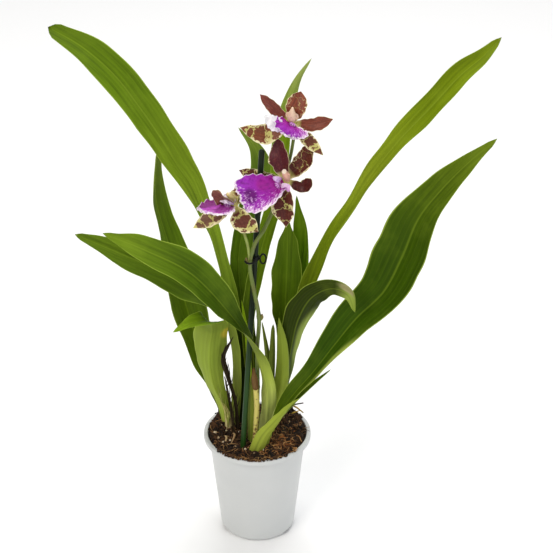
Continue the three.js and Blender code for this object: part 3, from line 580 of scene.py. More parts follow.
class Route:
    """A smooth centripetal curve through points, walked by share of its length."""

    STEPS = 200
    NUDGE = 0.0001

    def __init__(self, points):
        self.points = [Vector(p) for p in points]
        first, second, nearly, last = self.points[0], self.points[1], self.points[-2], self.points[-1]
        self.ends = [2 * first - second, *self.points, 2 * last - nearly]
        self.marks = [0.0]
        here = self.at(0)
        for i in range(1, self.STEPS + 1):
            there = self.at(i / self.STEPS)
            self.marks.append(self.marks[-1] + (there - here).length)
            here = there
        self.length = self.marks[-1]

    def at(self, t):
        """The point at t of the curve's own measure, which is uneven along it."""
        last = len(self.points) - 1
        i = min(int(t * last), last - 1)
        w = t * last - i
        p0, p1, p2, p3 = self.ends[i : i + 4]
        d0, d1, d2 = ((b - a).length_squared ** 0.25 for a, b in ((p0, p1), (p1, p2), (p2, p3)))
        rise = ((p1 - p0) / d0 - (p2 - p0) / (d0 + d1) + (p2 - p1) / d1) * d1
        fall = ((p2 - p1) / d1 - (p3 - p1) / (d1 + d2) + (p3 - p2) / d2) * d1
        return p1 + w * (rise + w * (3 * (p2 - p1) - 2 * rise - fall + w * (2 * (p1 - p2) + rise + fall)))

    def even(self, share):
        """The curve's own measure at a share of its length."""
        target = share * self.length
        i = min(bisect.bisect_right(self.marks, target), self.STEPS) - 1
        return (i + (target - self.marks[i]) / (self.marks[i + 1] - self.marks[i])) / self.STEPS

    def point(self, share):
        return self.at(self.even(share))

    def ahead(self, share):
        t = self.even(share)
        return (self.at(min(1, t + self.NUDGE)) - self.at(max(0, t - self.NUDGE))).normalized()


# ---------------------------------------------------------------- blades, stalks and turned shapes


def new_work():
    """An empty bmesh with the marks that the materials read."""
    work = bmesh.new()
    layers = work.verts.layers
    layers.float_vector.new("share")  # across from -1 to 1, along, and 1 on the under face
    layers.float_vector.new("flat_mm")  # across and along in mm, and an offset for its pattern
    layers.float_color.new("tint")
    layers.float.new("net")
    return work


def wrapped_grid(work, around, length, places, marks):
    """A grid rolled into a tube. places[row][column] are its points, and marks(row, column) its marks."""
    layers = work.verts.layers
    share, flat = layers.float_vector["share"], layers.float_vector["flat_mm"]
    tint, net = layers.float_color["tint"], layers.float["net"]
    grid = bmesh.ops.create_grid(work, x_segments=around, y_segments=length, size=0.5)
    for vertex in grid["verts"]:
        row = round((vertex.co.y + 0.5) * length)
        column = round((vertex.co.x + 0.5) * around) % around
        vertex.co = places[row][column]
        vertex[share], vertex[flat], vertex[tint], vertex[net] = marks(row, column)


def facing(face, share):
    """Where an upper face looks at a share, from one direction or from stops of (share, x, y, z)."""
    stops = face if isinstance(face[0], tuple) else [(0, *face), (1, *face)]
    return between([(at, Vector(way).normalized()) for at, *way in stops], share).normalized()


def margin_steps(columns):
    """Places across a blade from 1 to -1, closer together near the margins."""
    steps = [k / columns for k in range(columns + 1)]
    return [mix(1 - 2 * step, cos(pi * step), 0.6) for step in steps]


def add_blade(work, kind, spec, relief, offset, shape=None):
    """A leaf, sheath, petal or lip: one thin closed skin along its spine, folded and rippled.

    relief(across, share, half) lifts the surface, and shape(across, share) moves a point along the spine.
    """
    columns, rows, thick, keel, closed_over = BLADES[kind]
    route = Route(spec["spine"])
    fold = spec.get("fold", PLAIN_FOLD)
    height, ripples, lag = spec.get("wave", (0, 1, 0))
    scallop, scallops = spec.get("scallop", (0, 1))
    bite, bites = spec.get("ragged", (0, 1))
    acrosses = margin_steps(columns)
    tints = [(share, Vector(paint(colour))) for share, colour in spec["tint"]]
    spots = [(*place, Vector(paint(colour))) for *place, colour in spec.get("spots", [])]
    upper, halves = [], []
    for i in range(rows + 1):
        share = i / rows
        ahead = route.ahead(share)
        up = facing(spec["face"], share)
        up = (up - ahead * up.dot(ahead)).normalized()
        side = up.cross(ahead)
        half = max(along(spec["half"], share), TIP_HALF)
        half += scallop * sin(tau * scallops * share) * min(1, half / 8)
        if closed_over:
            half *= sqrt(min(1, (1 - share) / closed_over))
        lift = radians(mix(*fold, share))
        centre = route.point(share)
        row = []
        for across in acrosses:
            margin = abs(across)
            phase = ripples * share + (0 if across > 0 else lag)
            ripple = height * margin**2 * sin(tau * phase) * min(1, 4 * share)
            ripple *= min(1, half / 3)
            rise = half * margin**FOLD_CURVE * sin(lift) + ripple + relief(across, share, half)
            stray = bite * bumps(share * bites, 5 if across > 0 else 9, offset) * min(1, half / 9)
            place = centre + side * (across * half * cos(lift) + across**3 * stray) + up * rise
            if shape:
                place += ahead * shape(across, share)
            row.append(place)
        upper.append(row)
        halves.append(half)
    places = []
    for i, row in enumerate(upper):
        above, below = upper[min(i + 1, rows)], upper[max(i - 1, 0)]
        under = []
        for j, point in enumerate(row):
            right, left = row[min(j + 1, columns)], row[max(j - 1, 0)]
            normal = (right - left).cross(above[j] - below[j]).normalized()
            edge = sqrt(max(0, 1 - acrosses[j] ** 2))
            depth = thick * min(1, 1.6 * edge) + keel * exp(-((acrosses[j] / MIDRIB) ** 2)) * (1 - i / rows)
            under.append(point - normal * min(depth, halves[i]))
        places.append(row + under[-2:0:-1])

    def marks(row, column):
        beneath = column > columns
        across = acrosses[2 * columns - column if beneath else column]
        under = 0.5 if column in (0, columns) else float(beneath)
        share = row / rows
        flat = (across * halves[row], share * route.length, offset)
        colour = between(tints, share)
        for middle, at, wide, long, spot in spots:
            away = hypot((across - middle) / wide, (share - at) / long)
            colour = colour.lerp(spot, smooth_step(1.2, 0.6, away))
        return (across, share, under), flat, colour, spec.get("net", 0.0)

    wrapped_grid(work, 2 * columns, rows, places, marks)
    return route


def turning(route, rows):
    """Two directions square to a route at each row, carried along it without twisting."""
    ahead = route.ahead(0)
    out = ahead.orthogonal().normalized()
    frames = []
    for i in range(rows + 1):
        there = route.ahead(i / rows)
        out = ahead.rotation_difference(there) @ out
        ahead = there
        frames.append((out.copy(), ahead.cross(out)))
    return frames


def add_stalk(work, kind, points, radii, swell=None, tint="#ffffff", offset=0):
    """A round stalk along points. swell(turn, share) multiplies its radius."""
    around, rows = STALKS[kind]
    route = Route(points)
    frames = turning(route, rows)
    colour = paint(tint)
    places = []
    for i, (out, across) in enumerate(frames):
        share = i / rows
        radius = along(radii, share)
        centre = route.point(share)
        row = []
        for k in range(around):
            turn = tau * k / around
            reach = radius * (swell(turn, share) if swell else 1)
            row.append(centre + (out * cos(turn) + across * sin(turn)) * reach)
        places.append(row)

    def marks(row, column):
        turn = tau * column / around
        flat = (cos(turn), row / rows * route.length, offset)
        return (sin(turn), row / rows, 0), flat, colour, 0

    wrapped_grid(work, around, rows, places, marks)


def rounded_ends(route_length, radius):
    """A swell that rounds a stalk's two ends."""

    def swell(_, share):
        from_end = min(share, 1 - share) * route_length / radius
        return sqrt(max(0.0, 1 - (1 - min(1, from_end)) ** 2))

    return swell


def mark_all(work, vertices, tint="#ffffff", grain=0.0):
    """The same marks on every one of these vertices."""
    layers = work.verts.layers
    flat, colour, net = layers.float_vector["flat_mm"], layers.float_color["tint"], layers.float["net"]
    for vertex in vertices:
        vertex[flat], vertex[colour], vertex[net] = (0, 0, 0), paint(tint), grain


def add_lump(work, centre, size, tint="#ffffff", grain=0.0, spin=None, detail=3):
    """A rounded lump, stretched and turned."""
    turn = spin.to_4x4() if spin else Matrix()
    matrix = Matrix.Translation(centre) @ turn @ Matrix.Diagonal((*size, 1))
    made = bmesh.ops.create_icosphere(work, subdivisions=detail, radius=1, matrix=matrix)
    mark_all(work, made["verts"], tint, grain)
    return made["verts"]


def turned(profile, steps):
    """A profile of (radius, height) spun once round the upright axis."""
    work = new_work()
    ring = [work.verts.new((radius, 0, z)) for radius, z in profile]
    edges = [work.edges.new(pair) for pair in zip(ring, ring[1:])]
    spun = {"cent": (0, 0, 0), "axis": (0, 0, 1), "angle": tau, "steps": steps, "use_merge": True}
    bmesh.ops.spin(work, geom=ring + edges, **spun)
    return work


def arc(centre_r, centre_z, radius, start, stop, steps):
    """Points of an arc in a profile, its angles in degrees from straight outward."""
    turns = [radians(mix(start, stop, k / steps)) for k in range(steps + 1)]
    return [(centre_r + radius * cos(turn), centre_z + radius * sin(turn)) for turn in turns]


def stand(work, foot, way):
    """Turns a shape's upright axis along a way, and stands it on a foot."""
    spin = way.to_track_quat("Z", "Y").to_matrix().to_4x4()
    bmesh.ops.transform(work, matrix=Matrix.Translation(foot) @ spin, verts=work.verts)


def closed(work):
    """Welds the seams, shuts the ends and turns the faces outward."""
    bmesh.ops.remove_doubles(work, verts=work.verts, dist=WELD)
    bmesh.ops.dissolve_degenerate(work, dist=WELD / 10, edges=work.edges)
    bmesh.ops.holes_fill(work, edges=[edge for edge in work.edges if edge.is_boundary])
    bmesh.ops.triangulate(work, faces=[face for face in work.faces if len(face.verts) > 4])
    bmesh.ops.recalc_face_normals(work, faces=work.faces)


def placed(name, data):
    """A new object that holds the data, in the scene."""
    made = bpy.data.objects.new(name, data)
    bpy.context.scene.collection.objects.link(made)
    return made


def made_of(name, work):
    """A new mesh object of a bmesh, which is then freed."""
    mesh = bpy.data.meshes.new(name)
    work.to_mesh(mesh)
    work.free()
    return placed(name, mesh)


def finish_piece(name, work, material, node, stands_for=True, smooth=True):
    """A finished piece in metres, riding on the pot, that stands for its CAD node or lies with it."""
    closed(work)
    bmesh.ops.scale(work, vec=(MM, MM, MM), verts=work.verts)
    for face in work.faces:
        face.smooth = smooth
    piece = made_of(name, work)
    piece.data.materials.append(material)
    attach(piece, "root")
    if stands_for:
        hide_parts(node)
    return piece


# ---------------------------------------------------------------- materials


# Settings that several nodes share.
RGBA = {"data_type": "RGBA"}
SMOOTH = {"interpolation_type": "SMOOTHSTEP"}
TIMES = {"operation": "MULTIPLY"}

# The marks on a mesh, and the output that reads each of them.
MARKS = {"share": "Vector", "flat_mm": "Vector", "tint": "Color", "net": "Fac", "place": "Object"}


def set_sockets(node, *values, **named):
    """Links or sets a node's inputs: in their order, or by name with an underscore for each space."""
    sockets = [socket for socket in node.inputs if socket.enabled]
    by_name = {socket.name.replace(" ", "_"): socket for socket in sockets}
    for socket, value in [*zip(sockets, values), *((by_name[name], value) for name, value in named.items())]:
        if isinstance(value, bpy.types.Node):
            value = next(output for output in value.outputs if output.enabled)
        if isinstance(value, bpy.types.NodeSocket):
            node.id_data.links.new(value, socket)
        else:
            socket.default_value = value


def add_node(tree, kind, *values, **named):
    """A node with its inputs and its settings. A setting's name is all in lower case, an input's isn't."""
    made = tree.nodes.new("ShaderNode" + kind)
    for name in [name for name in named if name.islower()]:
        setattr(made, name, named.pop(name))
    set_sockets(made, *values, **named)
    return made


def new_finish(name, *marks):
    """A material, the partial that adds nodes to it, and a socket for each mark. "place" is in metres."""
    material = bpy.data.materials.new(name)
    material.use_nodes = True
    add = partial(add_node, material.node_tree)
    reads = []
    for mark in marks:
        node = add("TexCoord") if mark == "place" else add("Attribute", attribute_name=mark)
        reads.append(node.outputs[MARKS[mark]])
    return material, add, *reads


def finished(material, colour, roughness, relief, strength, deep, **inputs):
    """The material, its shader set, with a relief of this strength and so many metres deep."""
    bump = add_node(material.node_tree, "Bump", Strength=strength, Distance=deep, Height=relief)
    look = {"Base_Color": colour, "Roughness": roughness, "Normal": bump, "IOR": 1.45, **inputs}
    set_sockets(material.node_tree.nodes["Principled BSDF"], **look)
    return material


def leaf_cuticle(looks):
    """Waxy leaf skin over long parallel veins: satin, paler along its midrib and under face, with a pale
    margin that is partly the leaf's own and partly a painted highlight.
    """
    marks = ("share", "flat_mm", "tint", "net", "place")
    material, add, share, flat, tint, paler_under, place = new_finish("leaf_cuticle", *marks)
    part = add("SeparateXYZ", share)
    across = add("Math", part.outputs["X"], operation="ABSOLUTE")
    # Streaks a few mm wide and as long as a finger run with the veins; their darker green is partly the
    # leaf's own and partly painted shade of the pleats.
    drawn_out = add("VectorMath", flat, (0.3, 0.012, 1), **TIMES)
    streaks = add("TexNoise", drawn_out, 1, 4)
    clouds = add("TexNoise", place, 28, 3)
    # Five veins on each half draw together with the leaf towards its tip.
    ranks = add("Math", across, tau * 5, **TIMES)
    ridges = add("Math", ranks, operation="COSINE")
    veins = add("MapRange", ridges, 0.6, 1, 0, 0.09, **SMOOTH)
    midrib = add("MapRange", across, MIDRIB, 0.015, 0, 0.45, **SMOOTH)
    # The pale margin is partly the leaf's own colour and partly a painted highlight along the edge.
    margin = add("MapRange", across, 0.93, 0.99, 0, 0.65, **SMOOTH)
    brighter = add("Mix", 0.4, tint, looks.vein_colour, **RGBA)
    darker = add("Mix", 0.45, tint, looks.deep_and_pleat_shade_colour, **RGBA)
    streak_share = add("MapRange", streaks, 0.3, 0.62)
    base = add("Mix", streak_share, darker, tint, **RGBA)
    cloud_share = add("MapRange", clouds, 0.5, 0.75, 0, 0.3)
    clouded = add("Mix", cloud_share, base, brighter, **RGBA)
    veined = add("Mix", veins, clouded, brighter, **RGBA)
    ribbed = add("Mix", midrib, veined, brighter, **RGBA)
    under = add("Math", part.outputs["Z"], paler_under, **TIMES)
    paled = add("Mix", under, ribbed, looks.under_colour, **RGBA)
    edged = add("Mix", margin, paled, looks.margin_and_highlight_colour, **RGBA)
    relief = add("Math", ridges, 0.15, **TIMES)
    height = add("Math", relief, streaks)
    gloss = add("MapRange", clouds, 0.3, 0.7, looks.roughness - 0.05, looks.roughness + 0.08)
    return finished(material, edged, gloss, height, 0.3, 0.0006, Specular_IOR_Level=looks.shine)


def dry_paper():
    """Dead sheath: thin matt brown paper with darker fibres along it."""
    material, add, flat, tint = new_finish("dry_sheath_paper", "flat_mm", "tint")
    drawn_out = add("VectorMath", flat, (1.1, 0.05, 1), **TIMES)
    fibres = add("TexNoise", drawn_out, 1, 5, 0.65)
    share = add("MapRange", fibres, 0.4, 0.7)
    pale = add("Mix", 0.12, tint, paint("#c0a878"), **RGBA)
    base = add("Mix", share, tint, pale, **RGBA)
    return finished(material, base, 0.85, fibres, 0.6, 0.0005, Specular_IOR_Level=0.15)


def tepal_flesh(looks):
    """Fleshy petal, waxy: dark blotches with ragged edges over a pale yellow-green ground."""
    material, add, share, flat, tint, net = new_finish("tepal_flesh", "share", "flat_mm", "tint", "net")
    part = add("SeparateXYZ", share)
    ragged = add("TexNoise", flat, 0.3, 4)
    pulled = add("VectorMath", ragged.outputs["Color"], (9, 9, 0), **TIMES)
    warped = add("VectorMath", flat, pulled)
    # Blotches about 16 mm wide and 10 mm long, parted by pale lines that run mostly across the petal.
    cells = add("VectorMath", warped, (0.06, 0.1, 1), **TIMES)
    edges = add("TexVoronoi", cells, 1, feature="DISTANCE_TO_EDGE")
    gap = add("Math", net, 0.17, **TIMES)
    inside = add("Math", edges, gap, operation="SUBTRACT")
    blotch = add("MapRange", inside, -0.04, 0, **SMOOTH)
    across = add("Math", part.outputs["X"], operation="ABSOLUTE")
    frayed = add("MapRange", ragged, 0.3, 0.7, -0.2, 0.2)
    towards = add("Math", across, frayed)
    border = add("Math", net, 0.45, **TIMES)
    rim_start = add("Math", 1.06, border, operation="SUBTRACT")
    rim_end = add("Math", rim_start, 0.06)
    rim = add("MapRange", towards, rim_end, rim_start, **SMOOTH)
    covered = add("Math", blotch, rim, **TIMES)
    thin_rim = add("MapRange", across, 0.99, 0.93)
    heart = add("MapRange", part.outputs["Y"], 0.1, 0.2)
    outer = add("Math", thin_rim, heart, **TIMES)
    flushed = add("Math", covered, outer, **TIMES)
    # Fine veins and darker clouds inside the blotches.
    drawn_out = add("VectorMath", flat, (0.9, 0.12, 1), **TIMES)
    veins = add("TexNoise", drawn_out, 1, 3)
    vein_share = add("MapRange", veins, 0.35, 0.7, 0, 0.5)
    veined = add("Mix", vein_share, tint, looks.blotch_deep, **RGBA)
    mottle = add("TexNoise", flat, 0.5, 5, 0.7)
    lighter = add("MapRange", mottle, 0.52, 0.72, 0, 0.4)
    flesh = add("Mix", lighter, veined, looks.blotch_light, **RGBA)
    # The ground is cream at the rim, and greener within it and near the bloom's heart.
    inner = add("MapRange", towards, 1, 0.45)
    ground = add("Mix", inner, looks.ground_colour, looks.ground_green, **RGBA)
    colour = add("Mix", flushed, ground, flesh, **RGBA)
    under_share = add("Math", part.outputs["Z"], 0.45, **TIMES)
    backed = add("Mix", under_share, colour, looks.ground_green, **RGBA)
    return finished(material, backed, 0.45, veins, 0.4, 0.0004, Specular_IOR_Level=0.3)


def lip_flesh(looks):
    """Velvety lip: purple that breaks into radiating veins over a white edge."""
    material, add, share, flat, tint, skew = new_finish("lip_flesh", "share", "flat_mm", "tint", "net")
    part = add("SeparateXYZ", share)
    flat_part = add("SeparateXYZ", flat)
    # The veins fan out from 4 mm behind the lip's foot.
    reach = add("Math", flat_part.outputs["Y"], 4)
    turn = add("Math", flat_part.outputs["X"], reach, operation="ARCTAN2")
    spoke = add("Math", turn, 13, **TIMES)
    out = add("Math", reach, 0.16, **TIMES)
    fan = add("CombineXYZ", spoke, out, flat_part.outputs["Z"])
    streaks = add("TexNoise", fan, 1, 4, 0.65)
    finer = add("VectorMath", fan, (2.6, 2.2, 1), **TIMES)
    flames = add("TexNoise", finer, 1, 3, 0.7)
    across = add("Math", part.outputs["X"], operation="ABSOLUTE")
    brim = add("Math", across, part.outputs["Y"], operation="MAXIMUM")
    towards_end = add("Math", part.outputs["Y"], 0.93, **TIMES)
    outer = add("Math", across, towards_end, operation="MAXIMUM")
    edge = add("Math", outer, 4, operation="POWER")
    paler_side = add("Math", part.outputs["X"], skew, **TIMES)
    swing = add("MapRange", streaks, 0.3, 0.7, -0.3, 0.3)
    flicker = add("MapRange", flames, 0.35, 0.65, -0.32, 0.52)
    margin = add("Math", edge, 0.75, **TIMES)
    leaning = add("Math", margin, paler_side)
    swung = add("Math", leaning, swing)
    paleness = add("Math", swung, flicker)
    lilac_share = add("MapRange", paleness, 0.5, 0.8, **SMOOTH)
    white_share = add("MapRange", paleness, 0.82, 1.1, **SMOOTH)
    rim = add("MapRange", brim, 0.955, 0.985, 0, 0.8, **SMOOTH)
    deep = add("MapRange", streaks, 0.5, 0.3, 0, 0.8)
    flesh = add("Mix", deep, tint, looks.lip_deep, **RGBA)
    lilac = add("Mix", lilac_share, flesh, looks.lip_lilac, **RGBA)
    whitened = add("Mix", white_share, lilac, looks.lip_white, **RGBA)
    edged = add("Mix", rim, whitened, looks.lip_white, **RGBA)
    under_share = add("Math", part.outputs["Z"], 0.6, **TIMES)
    backed = add("Mix", under_share, edged, looks.lip_white, **RGBA)
    return finished(material, backed, 0.5, streaks, 0.5, 0.0006, IOR=1.42, Specular_IOR_Level=0.3)


def column_flesh(looks):
    """Waxy cream column and callus, flushed and streaked with purple near the foot."""
    material, add, share, tint, place = new_finish("column_flesh", "share", "tint", "place")
    part = add("SeparateXYZ", share)
    # Flecks about 1.5 mm across.
    flecks = add("TexNoise", place, 650, 2)
    spots = add("MapRange", flecks, 0.56, 0.64, 0, 0.5, **SMOOTH)
    near_foot = add("MapRange", part.outputs["Y"], 0.75, 0.1)
    flush = add("Math", spots, near_foot, **TIMES)
    colour = add("Mix", flush, tint, looks.lip_deep, **RGBA)
    return finished(material, colour, 0.38, flecks, 0.2, 0.0003, Coat_Weight=0.2, Coat_Roughness=0.25)


def stem_skin(looks):
    """Green stem skin: satin, with fine long ribs and a brown flush."""
    material, add, flat, tint, place = new_finish("stem_skin", "flat_mm", "tint", "place")
    drawn_out = add("VectorMath", flat, (3, 0.03, 1), **TIMES)
    ribs = add("TexNoise", drawn_out, 1, 3)
    clouds = add("TexNoise", place, 90, 3)
    flush = add("MapRange", clouds, 0.48, 0.7, 0, 0.5)
    flushed = add("Mix", flush, tint, looks.flush_colour, **RGBA)
    rib_share = add("MapRange", ribs, 0.4, 0.7, 0, 0.35)
    colour = add("Mix", rib_share, flushed, looks.rib_colour, **RGBA)
    return finished(material, colour, 0.42, ribs, 0.4, 0.0004)


def cane_skin(looks):
    """Old cane: smooth yellow skin gone brown in spots, most of them near its foot."""
    material, add, share, tint, place = new_finish("cane_skin", "share", "tint", "place")
    part = add("SeparateXYZ", share)
    # Spots about 3 mm across.
    flecks = add("TexNoise", place, 330, 3)
    low = add("MapRange", part.outputs["Y"], 0.8, 0.1, 0, 0.18)
    grown = add("Math", flecks, low)
    spots = add("MapRange", grown, 0.62, 0.7, **SMOOTH)
    colour = add("Mix", spots, tint, looks.spot_colour, **RGBA)
    return finished(material, colour, 0.5, flecks, 0.3, 0.0004)


def moulded_polypropylene(looks):
    """Injection-moulded polypropylene: satin, with a fine mould grain, faint cloudiness and a dusty rim."""
    material, add, place = new_finish("moulded_polypropylene", "place")
    part = add("SeparateXYZ", place)
    clouds = add("TexNoise", place, 22, 4)
    cloud_share = add("MapRange", clouds, 0.35, 0.7, 0, 0.35)
    mottled = add("Mix", cloud_share, looks.colour, looks.shade_colour, **RGBA)
    # Dust from the bark lies in patches on the upper 15 mm of the wall and rim.
    grit = add("TexNoise", place, 420, 4, 0.7)
    high = add("MapRange", part.outputs["Z"], 0.108, 0.1245)
    caught = add("MapRange", grit, 0.6, 0.72, 0, 0.5, **SMOOTH)
    dust = add("Math", high, caught, **TIMES)
    colour = add("Mix", dust, mottled, looks.dust_colour, **RGBA)
    # Mould grain of 0.8 mm, coarser than the real one, which would not show.
    grain = add("TexNoise", place, 1250, 2)
    gloss = add("MapRange", clouds, 0.3, 0.7, looks.roughness - 0.04, looks.roughness + 0.06)
    return finished(material, colour, gloss, grain, 0.12, 0.0002, IOR=1.49)


def composted_bark(looks):
    """Damp composted bark: matt, each chip its own brown, paler where it is torn."""
    material, add, own, place = new_finish("composted_bark", "net", "place")
    # Crumbs about 2 mm across, and torn grain of 0.7 mm.
    crumbs = add("TexNoise", place, 480, 5, 0.7)
    grain = add("TexNoise", place, 1400, 3)
    shifted = add("Math", crumbs, own)
    share = add("MapRange", shifted, 0.55, 1.4)
    colour = add("Mix", share, looks.damp_colour, looks.chip_colour, **RGBA)
    torn = add("MapRange", shifted, 1.3, 1.6, 0, 0.8)
    paler = add("Mix", torn, colour, looks.torn_colour, **RGBA)
    height = add("Math", crumbs, grain)
    return finished(material, paler, 0.9, height, 0.9, 0.0012, IOR=1.4)


def dry_fibre():
    """Coir and root fibres: dull strands from straw to rust, each its own colour."""
    material, add, tint, place = new_finish("dry_fibre", "tint", "place")
    wear = add("TexNoise", place, 300, 3)
    share = add("MapRange", wear, 0.4, 0.7, 0, 0.5)
    colour = add("Mix", share, tint, paint("#3a2412"), **RGBA)
    return finished(material, colour, 0.8, wear, 0.4, 0.0003)


def coated_steel(looks):
    """Plastic-coated steel stake: smooth dark green with a soft shine, faint draw lines and painted shade on
    its upper half.
    """
    material, add, place = new_finish("coated_steel_stake", "place")
    drawn = add("Mapping", place, Scale=(900, 900, 14))
    lines = add("TexNoise", drawn, 1, 2)
    share = add("MapRange", lines, 0.4, 0.7, 0, 0.4)
    worn = add("Mix", share, looks.stake_colour, looks.stake_worn, **RGBA)
    # Painted shade: its upper half is darkened, where the blooms and leaves above shade it.
    high = add("MapRange", add("SeparateXYZ", place).outputs["Z"], 0.2, 0.31, 0, 0.9)
    colour = add("Mix", high, worn, looks.stake_dark, **RGBA)
    return finished(material, colour, 0.36, lines, 0.25, 0.0003, IOR=1.5, Specular_IOR_Level=0.2)


def black_nylon(looks):
    """Moulded nylon clip: black, satin, faintly cloudy."""
    material, add, place = new_finish("black_nylon", "place")
    clouds = add("TexNoise", place, 500, 2)
    colour = add("Mix", clouds, looks.clip_colour, paint("#141612"), **RGBA)
    return finished(material, colour, 0.55, clouds, 0.15, 0.0002, IOR=1.53, Specular_IOR_Level=0.15)


# ---------------------------------------------------------------- the pieces


def pot_profile():
    """Half of the pot's section, from the axis under its base round to the axis on its floor."""
    rim, mouth, height, round_by = (POT[k] for k in ("rim_radius", "mouth_radius", "height", "rim_round"))
    under = height - POT["rim_height"]
    foot, wall, base = POT["foot_round"], POT["wall"], POT["base_radius"]
    points = [(0, 0), (base - foot - 3, 0)]
    points += arc(base - foot, foot, foot, -90, 0, 10)
    points += [(POT["shoulder_radius"], under)]
    points += arc(rim - round_by / 2, under + round_by / 2, round_by / 2, -90, 0, 4)
    points += arc(rim - round_by, height - round_by, round_by, 0, 90, 8)
    points += arc(mouth + round_by / 2, height - round_by / 2, round_by / 2, 90, 180, 5)
    points += [(mouth - POT["mouth_taper"], under + 1), (POT["shoulder_radius"] - wall, under - 1.5)]
    points += [(base - wall, foot), (base - wall - foot / 2, POT["floor"]), (0, POT["floor"])]
    return points


def make_pot(looks):
    """The pot, smooth and thin walled, with its drain notches cut through the foot."""
    work = turned(pot_profile(), POT["steps"])
    mark_all(work, work.verts)
    pot = finish_piece("pot_fine", work, moulded_polypropylene(looks), "pot")
    drains = new_work()
    for k in range(POT["drains"]):
        turn = Matrix.Rotation(radians(POT["drain_turn"] + 360 * k / POT["drains"]), 4, "Z")
        place = Matrix.Translation((POT["base_radius"] - POT["drain_depth"], 0, POT["drain_height"]))
        matrix = Matrix.Scale(MM, 4) @ turn @ place @ Matrix.Diagonal((*POT["drain_size"], 1))
        bmesh.ops.create_cube(drains, size=1, matrix=matrix)
    cutter = made_of("drain_cutter", drains)
    cut = pot.modifiers.new("drains", "BOOLEAN")
    cut.operation, cut.solver, cut.object = "DIFFERENCE", "EXACT", cutter
    depsgraph = bpy.context.evaluated_depsgraph_get()
    drained = bpy.data.meshes.new_from_object(pot.evaluated_get(depsgraph))
    pot.modifiers.remove(cut)
    pot.data = drained
    bpy.data.objects.remove(cutter)
    drained.set_sharp_from_angle(angle=radians(POT["crease"]))


def mix_top(x, y):
    """Height of the potting mix at a place."""
    top = MIX["level"]
    for heap_x, heap_y, high, spread in MIX["heaps"]:
        top += high * exp(-(((x - heap_x) ** 2 + (y - heap_y) ** 2) / spread**2) / 2)
    out = hypot(x, y) / mix_radius()
    return top - MIX["edge_drop"] * smooth_step(0.85, 1, out)


def mix_radius():
    """Radius of the top of the mix, just inside the pot's mouth."""
    return POT["mouth_radius"] - POT["mouth_taper"] - MIX["gap"]


def make_mix_body(bark):
    """The body of the mix: a rough top, and a plain side and bottom within the pot's wall."""
    work = new_work()
    grid = bmesh.ops.create_grid(work, x_segments=MIX["cells"], y_segments=MIX["cells"], size=1)
    radius = mix_radius()
    for vertex in grid["verts"]:
        x, y = vertex.co.x, vertex.co.y
        x, y = x * sqrt(1 - y * y / 2) * radius, y * sqrt(1 - x * x / 2) * radius
        rough = noise.fractal(Vector((x, y, 0)) / 7, 0.9, 2.1, 4) * MIX["lumpy"]
        vertex.co = (x, y, mix_top(x, y) - MIX["sunk"] + rough * smooth_step(1, 0.85, hypot(x, y) / radius))
    inside = POT["wall"] + MIX["gap"]
    neck = (POT["shoulder_radius"] - inside, POT["height"] - POT["rim_height"] - 2)
    foot = (POT["base_radius"] - inside, MIX["bottom"])
    for narrow, low in (neck, foot):
        rim = [edge for edge in work.edges if edge.is_boundary]
        walls = bmesh.ops.extrude_edge_only(work, edges=rim)
        for vertex in [item for item in walls["geom"] if isinstance(item, bmesh.types.BMVert)]:
            shrink = narrow / hypot(vertex.co.x, vertex.co.y)
            vertex.co = (vertex.co.x * shrink, vertex.co.y * shrink, low)
    mark_all(work, work.verts, grain=0.12)
    finish_piece("potting_mix_fine", work, bark, "potting_mix")


def rim_top(x, y):
    """Height of what lies under a crumb: the mix, or the pot's rim beyond it."""
    return max(mix_top(x, y), POT["height"]) if hypot(x, y) > mix_radius() - 1 else mix_top(x, y)


def spilled(count, draw):
    """Places over the front of the rim, thickest in the middle of the spill."""
    spill = MIX["spill"]
    for _ in range(count):
        turn = radians(draw.triangular(*spill["turns"]))
        out = pick(draw, (spill["inner"], spill["outer"]), 1.3)
        yield out * cos(turn), out * sin(turn)


def scattered(count, reach, draw):
    """Places spread evenly over the mix by the golden angle, each a little off."""
    for i in range(count):
        turn = GOLDEN_ANGLE * i + 0.8 * draw.random()
        out = reach * sqrt((i + draw.random()) / count)
        yield out * cos(turn), out * sin(turn)


def roughen(vertices, amount, grain):
    """Pushes vertices about, by up to an amount and with a grain in mm."""
    noise.seed_set(NOISE_SEED)
    for vertex in vertices:
        vertex.co += noise.noise_vector(vertex.co / grain) * amount


